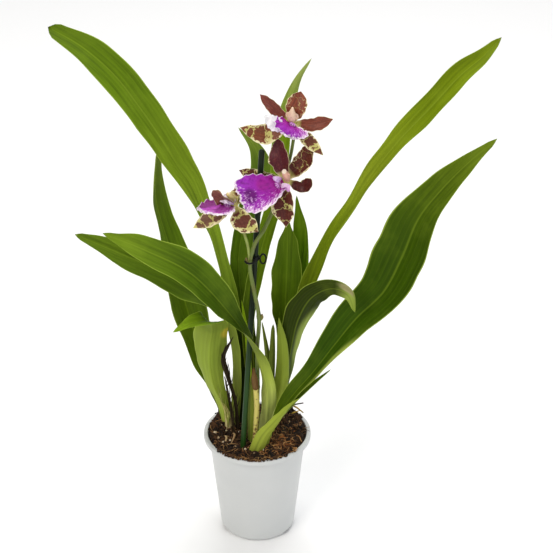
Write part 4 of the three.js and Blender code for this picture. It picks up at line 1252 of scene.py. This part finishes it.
def make_chips(looks, bark):
    """Bark chips and crumbs that lie on the mix, each with its own brown."""
    draw = random.Random(11)
    work = new_work()
    for x, y in scattered(looks.chips, CHIP["reach"], draw):
        long = pick(draw, CHIP["long"], 2)
        size = (long, long * pick(draw, CHIP["wide"]), pick(draw, CHIP["thick"]))
        tips = [Matrix.Rotation(draw.uniform(-CHIP["steep"], CHIP["steep"]), 4, axis) for axis in "XY"]
        turn = Matrix.Rotation(draw.uniform(0, tau), 4, "Z")
        place = Matrix.Translation((x, y, mix_top(x, y) + pick(draw, CHIP["lift"])))
        lying = place @ turn @ (tips[0] @ tips[1]) @ Matrix.Diagonal((*size, 1))
        cube = bmesh.ops.create_cube(work, size=1, matrix=lying)
        edges = dict.fromkeys(edge for vertex in cube["verts"] for edge in vertex.link_edges)
        split = bmesh.ops.subdivide_edges(work, edges=list(edges), cuts=1, use_grid_fill=True)
        made = [item for item in [*cube["verts"], *split["geom"]] if item.is_valid]
        vertices = list(dict.fromkeys(item for item in made if isinstance(item, bmesh.types.BMVert)))
        roughen(vertices, *CHIP["rough"])
        mark_all(work, vertices, grain=draw.uniform(0, 0.75))
    finish_piece("bark_chips", work, bark, "potting_mix", stands_for=False, smooth=False)

    crumbs = new_work()
    for x, y in scattered(looks.crumbs, CRUMB["reach"], draw):
        size = [pick(draw, CRUMB["size"], 2) for _ in range(3)]
        spin = Matrix.Rotation(draw.uniform(0, tau), 3, "Z")
        centre = (x, y, mix_top(x, y) + pick(draw, CRUMB["lift"]))
        lump = add_lump(crumbs, centre, size, grain=draw.uniform(0, 0.8), spin=spin, detail=1)
        roughen(lump, *CRUMB["rough"])
    for x, y in spilled(looks.spilled, draw):
        size = [*(pick(draw, SPILLED["size"]) for _ in range(2)), pick(draw, SPILLED["thick"])]
        spin = Matrix.Rotation(draw.uniform(0, tau), 3, "Z")
        centre = (x, y, rim_top(x, y) + size[2] * 0.6)
        lump = add_lump(crumbs, centre, size, grain=draw.uniform(0, 0.8), spin=spin, detail=1)
        roughen(lump, *SPILLED["rough"])
    finish_piece("bark_crumbs", crumbs, bark, "potting_mix", stands_for=False, smooth=False)


def drawn_in(x, y, reach):
    """A place, moved straight inward if it lies farther out than a reach."""
    inward = min(1, reach / hypot(x, y))
    return x * inward, y * inward


def make_fibres(looks, fibre):
    """Coir strands, dry roots and twigs, and the cream flecks of old moss between the chips."""
    draw = random.Random(23)
    coir = MIX["coir"]
    work = new_work()
    places = [*scattered(looks.fibres, STRAND["reach"], draw), *spilled(looks.spilled // 4, draw)]
    for x, y in places:
        dense = draw.random() < coir["share"]
        if dense:
            x, y = (draw.gauss(middle, coir["spread"]) for middle in coir["heart"])
            x, y = drawn_in(x, y, STRAND["reach"])
        reach = pick(draw, STRAND["long"])
        heading = draw.uniform(0, tau)
        curled = STRAND["coir_curl" if dense else "curl"]
        curl = draw.uniform(-curled, curled)
        points = []
        for k in range(5):
            out = reach * (k / 4 - 0.5)
            turn = heading + curl * (k - 2)
            px, py = drawn_in(x + out * cos(turn), y + out * sin(turn), MIX["spill"]["outer"])
            lifted = draw.uniform(*STRAND["lift"]) * sin(pi * (k + 0.5) / 5)
            points.append((px, py, rim_top(px, py) + 0.5 + lifted))
        radius = pick(draw, STRAND["radius"])
        tint = draw.choice(MIX["rusty_tints" if dense else "dull_tints"])
        add_stalk(work, "strand", points, [radius * 0.5, radius, radius * 0.4], tint=tint)
    finish_piece("coir_fibres", work, fibre, "potting_mix", stands_for=False)

    twigs = new_work()
    for tint, *route in MIX["twigs"]:
        add_stalk(twigs, "twig", route, [1.1, 1, 0.7],
                  lambda turn, share: 1 + 0.2 * bumps(turn, share * 9, 0), tint)
    for tint, *route in MIX["roots"]:
        add_stalk(twigs, "twig", route, [0.9, 1.2, 0.5],
                  lambda turn, share: 1 + 0.15 * bumps(turn, share * 7, 1), tint)
    finish_piece("dry_twigs", twigs, fibre, "potting_mix", stands_for=False)

    flecks = new_work()
    strewn = ((FLECK, scattered(looks.flecks, FLECK["reach"], draw), 1), (PEBBLE, MIX["pebbles"], 2))
    for kind, places, detail in strewn:
        for x, y in places:
            size = [pick(draw, kind["size"]) for _ in range(3)]
            centre = (x, y, mix_top(x, y) + kind["lift"])
            lump = add_lump(flecks, centre, size, draw.choice(kind["tints"]), detail=detail)
            roughen(lump, *kind["rough"])
    finish_piece("moss_flecks", flecks, fibre, "potting_mix", stands_for=False, smooth=False)


def leaf_relief(looks, seed):
    """The pleats of a leaf, its midrib's groove and a slight unevenness of its margins."""

    def relief(across, share, half):
        fade = min(1, 6 * share) * min(1, 6 * (1 - share)) * min(1, half / 8)
        pleats = looks.pleat_depth * cos(tau * 2.5 * abs(across)) * (1 - across**2)
        groove = -looks.midrib_depth * exp(-((across / MIDRIB) ** 2))
        uneven = bumps(share * 14, across * 0.8, seed) * across**2 * looks.uneven
        return (pleats + groove) * fade + uneven * min(1, half / 6) * min(1, 5 * share)

    return relief


def make_leaves(looks):
    """Every green leaf and sheath, pleated along its veins."""
    cuticle = leaf_cuticle(looks)
    for k, (name, leaf) in enumerate(LEAVES.items()):
        small = leaf.get("small", False)
        spec = {**leaf, "net": leaf.get("under", 0.4), "ragged": (0 if small else looks.ragged, 16)}
        work = new_work()
        add_blade(work, "small leaf" if small else "leaf", spec, leaf_relief(looks, 7.3 * k), 9.7 * k)
        finish_piece(name + "_fine", work, cuticle, name)


def make_dry_sheaths():
    """Dead sheaths: crumpled paper with frayed strands along it."""
    paper = dry_paper()
    draw = random.Random(5)
    for k, (name, sheath) in enumerate(DRY_SHEATHS.items()):

        def crumple(across, share, half, seed=k * 5.1):
            return 1.1 * bumps(share * 9, across * 1.5, seed) * min(1, 4 * share)

        work = new_work()
        route = add_blade(work, "dry sheath", sheath, crumple, 4.1 * k)
        for _ in range(14):
            start = draw.uniform(0.1, 0.85)
            foot = route.point(start)
            aside = Vector([draw.uniform(-3.5, 4.5), draw.uniform(-2, 2), draw.uniform(4, 10)])
            end = foot + aside + route.ahead(start) * draw.uniform(6, 22)
            middle = (foot + end) / 2 + Vector([draw.uniform(-1.5, 1.5) for _ in range(3)])
            strand = [foot, middle, end]
            add_stalk(work, "frayed strand", strand, [0.5, 0.55, 0.15], tint=sheath["tint"][-1][1])
        finish_piece(name + "_fine", work, paper, name)


def ring_swell(joints, amount, width):
    """A swell that thickens a stalk in a narrow ring at each of its joints."""

    def swell(_, share):
        return 1 + sum(amount * exp(-(((share - joint) / width) ** 2)) for joint in joints)

    return swell


def make_cane(looks):
    """The old cane with its leaf scars, and the dry sheath on its top."""
    work = new_work()
    scars = ring_swell(CANE["joints"], 0.07, 0.008)
    add_stalk(work, "cane", CANE["route"], CANE["radii"], scars, CANE["tint"])
    finish_piece("cane_fine", work, cane_skin(looks), "cane")
    sheath = new_work()
    add_stalk(sheath, "cane sheath", CANE["sheath"], CANE["sheath_radii"],
              lambda turn, share: 1 + 0.1 * sin(9 * turn) + 0.12 * share * sin(3 * turn + 9 * share),
              "#5e4220")
    finish_piece("cane_sheath_fine", sheath, dry_paper(), "cane_sheath")


def make_stake(looks):
    """The stake, with a rounded top."""
    foot, top, radius = Vector(STAKE["foot"]), Vector(STAKE["top"]), STAKE["radius"]
    length = (top - foot).length
    profile = [(0, 0), (radius, 0)] + [(radius, length * k / 20) for k in range(1, 20)]
    profile += arc(0, length - radius, radius, 0, 90, 10)
    work = turned(profile, 40)
    stand(work, foot, top - foot)
    mark_all(work, work.verts)
    finish_piece("stake_fine", work, coated_steel(looks), "stake")


def make_clip(looks):
    """The clip: a round grip on the stake, a ring round the stem and a spare loop."""
    foot, top = Vector(STAKE["foot"]), Vector(STAKE["top"])
    axis = (top - foot).normalized()
    centre = foot + axis * ((CLIP["height"] - foot.z) / axis.z)
    big, small, high = CLIP["outer_round"], CLIP["inner_round"], CLIP["grip_height"] / 2
    outer, inner = CLIP["grip_radius"] - big, STAKE["radius"] + CLIP["gap"] + small
    profile = arc(outer, high - big, big, 0, 90, 4) + arc(inner, high - small, small, 90, 180, 3)
    profile += arc(inner, small - high, small, 180, 270, 3) + arc(outer, big - high, big, 270, 360, 4)
    work = turned([*profile, profile[0]], 40)
    stand(work, centre, axis)
    for ring in (CLIP["stem_ring"], CLIP["loop"]):
        wire = ring["wire"]
        route = []
        for k in range(25):
            turn = tau * k / 24
            point = Vector((ring["radius"] * cos(turn), ring["stretch"] * ring["radius"] * sin(turn), 0))
            point.rotate(Matrix.Rotation(radians(ring["tipped"]), 3, "X"))
            route.append(point + Vector(ring["centre"]))
        add_stalk(work, "wire", route, [wire, wire])
    mark_all(work, work.verts)
    finish_piece("stake_clip_fine", work, black_nylon(looks), "stake_clip")


def make_stem(looks):
    """The flower stem with its joints, its three pedicels and its bracts."""
    work = new_work()
    swell = ring_swell(STEM["joints"], 0.22, 0.006)
    add_stalk(work, "stem", STEM["route"], STEM["radii"],
              lambda turn, share: swell(turn, share) * (1 + 0.02 * sin(8 * turn)), looks.stem_tint)
    for k, route in enumerate(STEM["pedicels"]):
        add_stalk(work, "pedicel", route, STEM["pedicel_radii"],
                  lambda turn, share: 1 + 0.1 * share * sin(6 * turn), looks.pedicel_tint, offset=3 * k)
    for k, spine in enumerate(STEM["bracts"]):
        bract = {**BRACT, "spine": spine, "tint": [(0, looks.pedicel_tint), (1, "#6a4c28")]}
        add_blade(work, "bract", bract, lambda *_: 0, 2 * k)
    finish_piece("flower_stem_fine", work, stem_skin(looks), "flower_stem")


def tepal_spec(bloom, tepal):
    """The blade of one tepal, its middle set off from the line from the bloom's centre to its tip."""
    tip, half, (swing, bow, lift), blotch, net = tepal
    centre, tip = Vector(bloom["centre"]), Vector(tip)
    middle = centre.lerp(tip, 0.5) + Vector(bloom["looks"]) * bow + Vector((swing, 0, lift))
    spine = [centre.lerp(tip, 0.05), middle, tip]
    tint = [(0, blotch), (1, blotch)]
    return {**TEPAL, "spine": spine, "half": half, "face": bloom["looks"], "tint": tint, "net": net}


def make_tepals(name, bloom, looks, flesh):
    """The three sepals and two petals of a bloom, and the core that holds them."""
    work = new_work()
    for k, tepal in enumerate(bloom["tepals"]):

        def relief(across, share, half, seed=k * 3.7):
            groove = -0.5 * exp(-((across / 0.12) ** 2)) * (1 - share)
            frill = bumps(share * 5, across, seed) * across**2 * looks.frill
            return groove + frill * min(1, half / 4) * min(1, 3 * share)

        add_blade(work, "tepal", tepal_spec(bloom, tepal), relief, 5.3 * k + len(name))
    add_lump(work, bloom["centre"], (CORE_RADIUS, CORE_RADIUS, CORE_RADIUS), "#9aa04c")
    finish_piece(name + "_tepals_fine", work, flesh, name + "_tepals")


def lip_shape(lean, across, share):
    """How far a point of a lip moves along it: a rounded, leaning far edge with a notch and scallops."""
    towards_end = share**5
    rounded = -2.6 * across**2
    notch = -1.6 * exp(-((across / 0.16) ** 2))
    scallop = 0.6 * sin(9 * pi * across) + 0.3 * sin(21 * pi * across)
    return towards_end * (rounded + lean * across + notch + scallop)


def make_lip(name, bloom, looks, flesh):
    """A lip: a broad frilled blade with ridges that fan from its foot."""
    lip = bloom["lip"]
    spec = {
        **LIP, **lip, "net": looks.lip_skew * lip.get("pale_side", 1),
        "tint": [(0, looks.lip_foot), (0.45, looks.lip_tint), (1, looks.lip_end)],
    }

    def relief(across, share, half):
        turn = atan2(across * half, 4 + 38 * share)
        fan = looks.fan_depth * sin(15 * turn) * (1 - abs(across) ** 4) * sin(pi * share**0.7)
        edge = max(abs(across) ** 3, share**6)
        frill = 1.3 * edge * sin(tau * (4.5 * share + 1.7 * across)) * min(1, 4 * share)
        fine = 0.5 * edge * sin(tau * (11 * share - 3 * across)) * min(1, 4 * share)
        return fan + frill + fine

    work = new_work()
    shape = partial(lip_shape, lip.get("lean", 0))
    add_blade(work, "lip", spec, relief, len(name) * 1.7, shape)
    finish_piece(name + "_lip_fine", work, flesh, name + "_lip")


def make_side_lobes(name, bloom, flesh):
    """The pale lobes that stand beside a lip's foot, ruffled at their edge."""

    def ruffle(across, share, half):
        return 1.2 * bumps(share * 6, across * 1.4, len(name)) * min(1, 4 * share)

    work = new_work()
    for k, lobe in enumerate(bloom["lip"]["lobes"]):
        add_blade(work, "side lobe", {**LOBE, **lobe}, ruffle, 2.3 * k)
    finish_piece(name + "_side_lobes", work, flesh, name + "_lip", stands_for=False)


def make_callus(name, bloom, flesh):
    """The fleshy callus on a lip's foot: a low lump crowned by a fan of ridges."""
    lip = bloom["lip"]
    spine = [Vector(p) for p in lip["spine"]]
    up = Vector(lip["face"]).normalized()
    ahead = (spine[1] - spine[0]).normalized()
    up = (up - ahead * up.dot(ahead)).normalized()
    side = up.cross(ahead)
    heart = spine[0].lerp(spine[1], 0.25) + up * CALLUS["rise"]
    basis = Matrix((ahead, side, up)).transposed()
    work = new_work()
    add_lump(work, heart, CALLUS["size"], "#c88ac0", spin=basis)
    for k in range(CALLUS["ridges"]):
        turn = radians(CALLUS["spread"] * (k / (CALLUS["ridges"] - 1) - 0.5))
        way = ahead * cos(turn) + side * sin(turn)
        points = [heart + up * 0.8 - way, heart + up * 1.9 + way * 1.6, heart + up * 0.6 + way * 4.4]
        add_stalk(work, "callus ridge", points, [0.4, 0.8, 0.3], tint="#d6a6d8" if k % 2 else "#a84ab0")
    finish_piece(name + "_callus", work, flesh, name + "_column", stands_for=False)


def make_column(name, bloom, flesh):
    """A column: a fleshy hood with a wing on each side and a smooth cap at its tip."""
    points = [Vector(p) for p in bloom["column"]]
    route = Route(points)
    work = new_work()
    radii = [radius * 0.98 for radius in bloom["column_radii"]]
    add_stalk(work, "column", points, radii, rounded_ends(route.length, 1.2), bloom["column_tint"])
    tip = route.point(0.9)
    ahead = route.ahead(0.9)
    look = Vector(bloom["looks"])
    side = ahead.cross(look).normalized()
    front = side.cross(ahead)
    basis = Matrix((side, front, ahead)).transposed()
    cap = bloom["column_radii"][-1]
    add_lump(work, tip - front * 0.4, (1.4 * cap, 1.5 * cap, 1.3 * cap), "#f2e0c8", spin=basis)
    wing = bloom.get("wing", 1)
    for turn in (-1, 1):
        centre = route.point(0.62 / wing) + side * (turn * 3.0 * sqrt(wing)) - front * 0.8
        add_lump(work, centre, (1.7 * wing, 1, 2.6 * wing), bloom["column_tint"], spin=basis)
    finish_piece(name + "_column_fine", work, flesh, name + "_column")


def make_blooms(looks):
    """The three open blooms."""
    tepals, lips, columns = tepal_flesh(looks), lip_flesh(looks), column_flesh(looks)
    for name, bloom in BLOOMS.items():
        make_tepals(name, bloom, looks, tepals)
        make_lip(name, bloom, looks, lips)
        make_side_lobes(name, bloom, columns)
        make_callus(name, bloom, columns)
        make_column(name, bloom, columns)


def make_stage(looks):
    """A pale floor, soft studio light from all sides and the camera."""
    work = bmesh.new()
    bmesh.ops.create_grid(work, x_segments=1, y_segments=1, size=FLOOR_HALF)
    floor = made_of("floor", work)
    material, _ = new_finish("pale_floor")
    set_sockets(material.node_tree.nodes["Principled BSDF"], Base_Color=looks.floor_colour, Roughness=0.9)
    floor.data.materials.append(material)

    world = bpy.data.worlds.new("studio")
    world.use_nodes = True
    background = world.node_tree.nodes["Background"]
    background.inputs["Color"].default_value = (1, 1, 1, 1)
    background.inputs["Strength"].default_value = looks.surround
    bpy.context.scene.world = world
    for name, (place, size, power, colour) in LAMPS.items():
        lamp = bpy.data.lights.new(name, "AREA")
        lamp.size, lamp.energy, lamp.color = size, getattr(looks, power), paint(colour)[:3]
        light = placed(name, lamp)
        light.location = place
        light.rotation_euler = (Vector(LAMPS_AIM) - Vector(place)).to_track_quat("-Z", "Y").to_euler()

    lens = bpy.data.cameras.new("camera")
    lens.sensor_width = CAMERA["sensor"]
    lens.lens = CAMERA["focal_px"] / CAMERA["frame_px"] * CAMERA["sensor"]
    lens.clip_end = 50
    camera = placed("camera", lens)
    camera.location = CAMERA["place"]
    camera.rotation_euler = (radians(CAMERA["tilt"]), 0, 0)
    bpy.context.scene.camera = camera
    bpy.context.scene.view_settings.view_transform = "Standard"


# ---------------------------------------------------------------- settings, operators and panel


def colour_setting(name, hint, value):
    return bpy.props.FloatVectorProperty(
        name=name, description=hint, subtype="COLOR", size=4, min=0, max=1, default=paint(value)
    )


def hex_setting(name, hint, value):
    return bpy.props.StringProperty(name=name, description=hint, default=value)


def count_setting(name, hint, value):
    return bpy.props.IntProperty(name=name, description=hint, default=value, min=0)


def share_setting(name, hint, value, low=0):
    return bpy.props.FloatProperty(
        name=name, description=hint, default=value, min=low, max=1, subtype="FACTOR"
    )


def number_setting(name, hint, value, high=4):
    return bpy.props.FloatProperty(name=name, description=hint, default=value, min=0, max=high)


def power_setting(name, hint, value):
    return bpy.props.FloatProperty(
        name=name, description=hint, default=value, min=0, subtype="POWER", unit="POWER"
    )


class ORCHID_PG_pot(bpy.types.PropertyGroup):
    colour: colour_setting("Plastic", "Colour of the pot's plastic", "#c9cbca")
    shade_colour: colour_setting("Cloud", "Colour of the faint clouds in the plastic", "#bfc2c2")
    dust_colour: colour_setting("Dust", "Colour of the bark dust at the rim", "#8a7a64")
    roughness: share_setting("Roughness", "How satin the plastic is", 0.38, 0.1)


class ORCHID_PG_mix(bpy.types.PropertyGroup):
    damp_colour: colour_setting("Damp bark", "Colour of the dampest bark", "#150d07")
    chip_colour: colour_setting("Bark", "Colour of the drier chips", "#5e3c20")
    torn_colour: colour_setting("Torn bark", "Colour of torn edges", "#a87a4c")
    chips: count_setting("Chips", "Number of bark chips", 380)
    crumbs: count_setting("Crumbs", "Number of crumbs", 900)
    fibres: count_setting("Fibres", "Number of coir strands", 470)
    flecks: count_setting("Flecks", "Number of cream flecks", 40)
    spilled: count_setting("Spilled", "Number of crumbs on the rim", 260)


class ORCHID_PG_leaves(bpy.types.PropertyGroup):
    vein_colour: colour_setting("Veins", "Colour of the veins and midrib", "#9cb436")
    # Darker green of the streaks: partly the leaf's own and partly painted shade of the pleats.
    deep_and_pleat_shade_colour: colour_setting("Deep green", "Darkest green between the veins", "#203400")
    under_colour: colour_setting("Under face", "Colour of the under face", "#a0ae48")
    # Pale margin: partly the leaf's own colour and partly a painted highlight along the edge.
    margin_and_highlight_colour: colour_setting("Margin", "Colour of the thin margin", "#aec44c")
    roughness: share_setting("Roughness", "How satin the leaves are", 0.5, 0.1)
    shine: share_setting("Shine", "Strength of the leaves' gloss", 0.07)
    pleat_depth: number_setting("Pleats", "Depth of the pleats in mm", 0.2, 2)
    midrib_depth: number_setting("Midrib", "Depth of the midrib's groove in mm", 0.6, 2)
    uneven: number_setting("Unevenness", "Unevenness of the margins in mm", 1.0)
    ragged: number_setting("Raggedness", "How far the leaves' margins stray in and out in mm", 1.7, 6)


class ORCHID_PG_stem(bpy.types.PropertyGroup):
    stem_tint: hex_setting("Stem", "Hex colour of the stem", "#5c6c28")
    pedicel_tint: hex_setting("Pedicels", "Hex colour of the pedicels", "#8d9c4c")
    flush_colour: colour_setting("Flush", "Brown flush on the stem", "#5c4224")
    rib_colour: colour_setting("Ribs", "Paler ribs of the stem", "#93a354")
    spot_colour: colour_setting("Spots", "Brown spots on the old cane", "#6b4a20")
    stake_colour: colour_setting("Stake", "Colour of the stake's coating", "#1a3a0e")
    stake_worn: colour_setting("Worn stake", "Colour of the stake's faint draw lines", "#335420")
    # Painted shade on the stake's upper half, where the blooms and leaves above shade it.
    stake_dark: colour_setting("Dark stake", "Colour of the stake's upper half", "#081404")
    clip_colour: colour_setting("Clip", "Colour of the clip", "#050605")


class ORCHID_PG_blooms(bpy.types.PropertyGroup):
    ground_colour: colour_setting("Ground", "Pale ground of the tepals", "#ece2b4")
    ground_green: colour_setting("Green ground", "Greener ground of the tepals", "#c6c070")
    blotch_deep: colour_setting("Blotch", "Darkest part of the blotches", "#2c0f10")
    blotch_light: colour_setting("Mottle", "Paler mottling of the blotches", "#a8654e")
    lip_tint: hex_setting("Lip", "Hex colour of the lips", "#9c1ea0")
    lip_foot: hex_setting("Lip foot", "Hex colour of the lips near their foot", "#a0207c")
    lip_end: hex_setting("Lip end", "Hex colour of the lips near their edge", "#9028b0")
    lip_deep: colour_setting("Lip veins", "Dark veins of the lips", "#700a74")
    lip_lilac: colour_setting("Lilac", "Lilac between the veins", "#cf94d4")
    lip_white: colour_setting("Lip edge", "White edge of the lips", "#f2e6ee")
    lip_skew: number_setting("Pale side", "How much paler one side of each lip is", 0.45, 1)
    frill: number_setting("Frill", "Unevenness of the tepals' margins in mm", 2.2)
    fan_depth: number_setting("Lip ridges", "Height of the lips' fanned ridges in mm", 0.35, 2)


class ORCHID_PG_stage(bpy.types.PropertyGroup):
    floor_colour: colour_setting("Floor", "Colour of the floor", "#fafafa")
    surround: number_setting("Surround", "Strength of the white surround", 0.5)
    key_power: power_setting("Key", "Power of the key light", 43)
    fill_power: power_setting("Fill", "Power of the fill light", 14)
    top_power: power_setting("Top", "Power of the light from above", 40)


class ORCHID_OT_pot(bpy.types.Operator):
    """Make the nursery pot"""

    bl_idname = "orchid.pot"
    bl_label = "Pot"

    def execute(self, context):
        make_pot(context.scene.orchid_pot)
        return {"FINISHED"}


class ORCHID_OT_mix(bpy.types.Operator):
    """Make the potting mix with its chips, fibres and twigs"""

    bl_idname = "orchid.mix"
    bl_label = "Potting mix"

    def execute(self, context):
        looks = context.scene.orchid_mix
        bark = composted_bark(looks)
        make_mix_body(bark)
        make_chips(looks, bark)
        make_fibres(looks, dry_fibre())
        return {"FINISHED"}


class ORCHID_OT_leaves(bpy.types.Operator):
    """Make the green leaves and sheaths"""

    bl_idname = "orchid.leaves"
    bl_label = "Leaves"

    def execute(self, context):
        make_leaves(context.scene.orchid_leaves)
        return {"FINISHED"}


class ORCHID_OT_dry_sheaths(bpy.types.Operator):
    """Make the dead papery sheaths"""

    bl_idname = "orchid.dry_sheaths"
    bl_label = "Dry sheaths"

    def execute(self, context):
        make_dry_sheaths()
        return {"FINISHED"}


class ORCHID_OT_cane(bpy.types.Operator):
    """Make the old cane and its sheath"""

    bl_idname = "orchid.cane"
    bl_label = "Cane"

    def execute(self, context):
        make_cane(context.scene.orchid_stem)
        return {"FINISHED"}


class ORCHID_OT_support(bpy.types.Operator):
    """Make the stake and its clip"""

    bl_idname = "orchid.support"
    bl_label = "Stake and clip"

    def execute(self, context):
        make_stake(context.scene.orchid_stem)
        make_clip(context.scene.orchid_stem)
        return {"FINISHED"}


class ORCHID_OT_stem(bpy.types.Operator):
    """Make the flower stem"""

    bl_idname = "orchid.stem"
    bl_label = "Flower stem"

    def execute(self, context):
        make_stem(context.scene.orchid_stem)
        return {"FINISHED"}


class ORCHID_OT_blooms(bpy.types.Operator):
    """Make the three blooms"""

    bl_idname = "orchid.blooms"
    bl_label = "Blooms"

    def execute(self, context):
        make_blooms(context.scene.orchid_blooms)
        return {"FINISHED"}


class ORCHID_OT_stage(bpy.types.Operator):
    """Make the floor, the light and the camera"""

    bl_idname = "orchid.stage"
    bl_label = "Stage"

    def execute(self, context):
        make_stage(context.scene.orchid_stage)
        return {"FINISHED"}


SETTINGS = {
    "orchid_pot": ORCHID_PG_pot,
    "orchid_mix": ORCHID_PG_mix,
    "orchid_leaves": ORCHID_PG_leaves,
    "orchid_stem": ORCHID_PG_stem,
    "orchid_blooms": ORCHID_PG_blooms,
    "orchid_stage": ORCHID_PG_stage,
}
OPERATORS = [
    ORCHID_OT_pot,
    ORCHID_OT_mix,
    ORCHID_OT_leaves,
    ORCHID_OT_dry_sheaths,
    ORCHID_OT_cane,
    ORCHID_OT_support,
    ORCHID_OT_stem,
    ORCHID_OT_blooms,
    ORCHID_OT_stage,
]


class ORCHID_PT_pieces(bpy.types.Panel):
    """The plant's pieces and their settings"""

    bl_idname = "ORCHID_PT_pieces"
    bl_label = "Orchid"
    bl_space_type = "VIEW_3D"
    bl_region_type = "UI"
    bl_category = "Orchid"

    def draw(self, context):
        for operator in OPERATORS:
            self.layout.operator(operator.bl_idname)
        for name, group in SETTINGS.items():
            box = self.layout.box()
            for setting in group.__annotations__:
                box.prop(getattr(context.scene, name), setting)


CLASSES = [*SETTINGS.values(), *OPERATORS, ORCHID_PT_pieces]


def register():
    for made in CLASSES:
        bpy.utils.register_class(made)
    for name, group in SETTINGS.items():
        setattr(bpy.types.Scene, name, bpy.props.PointerProperty(type=group))


def unregister():
    for name in SETTINGS:
        delattr(bpy.types.Scene, name)
    for made in reversed(CLASSES):
        bpy.utils.unregister_class(made)


def main():
    """Builds every piece and the stage."""
    register()
    for operator in OPERATORS:
        group, name = operator.bl_idname.split(".")
        getattr(getattr(bpy.ops, group), name)()


if __name__ == "__main__":
    main()
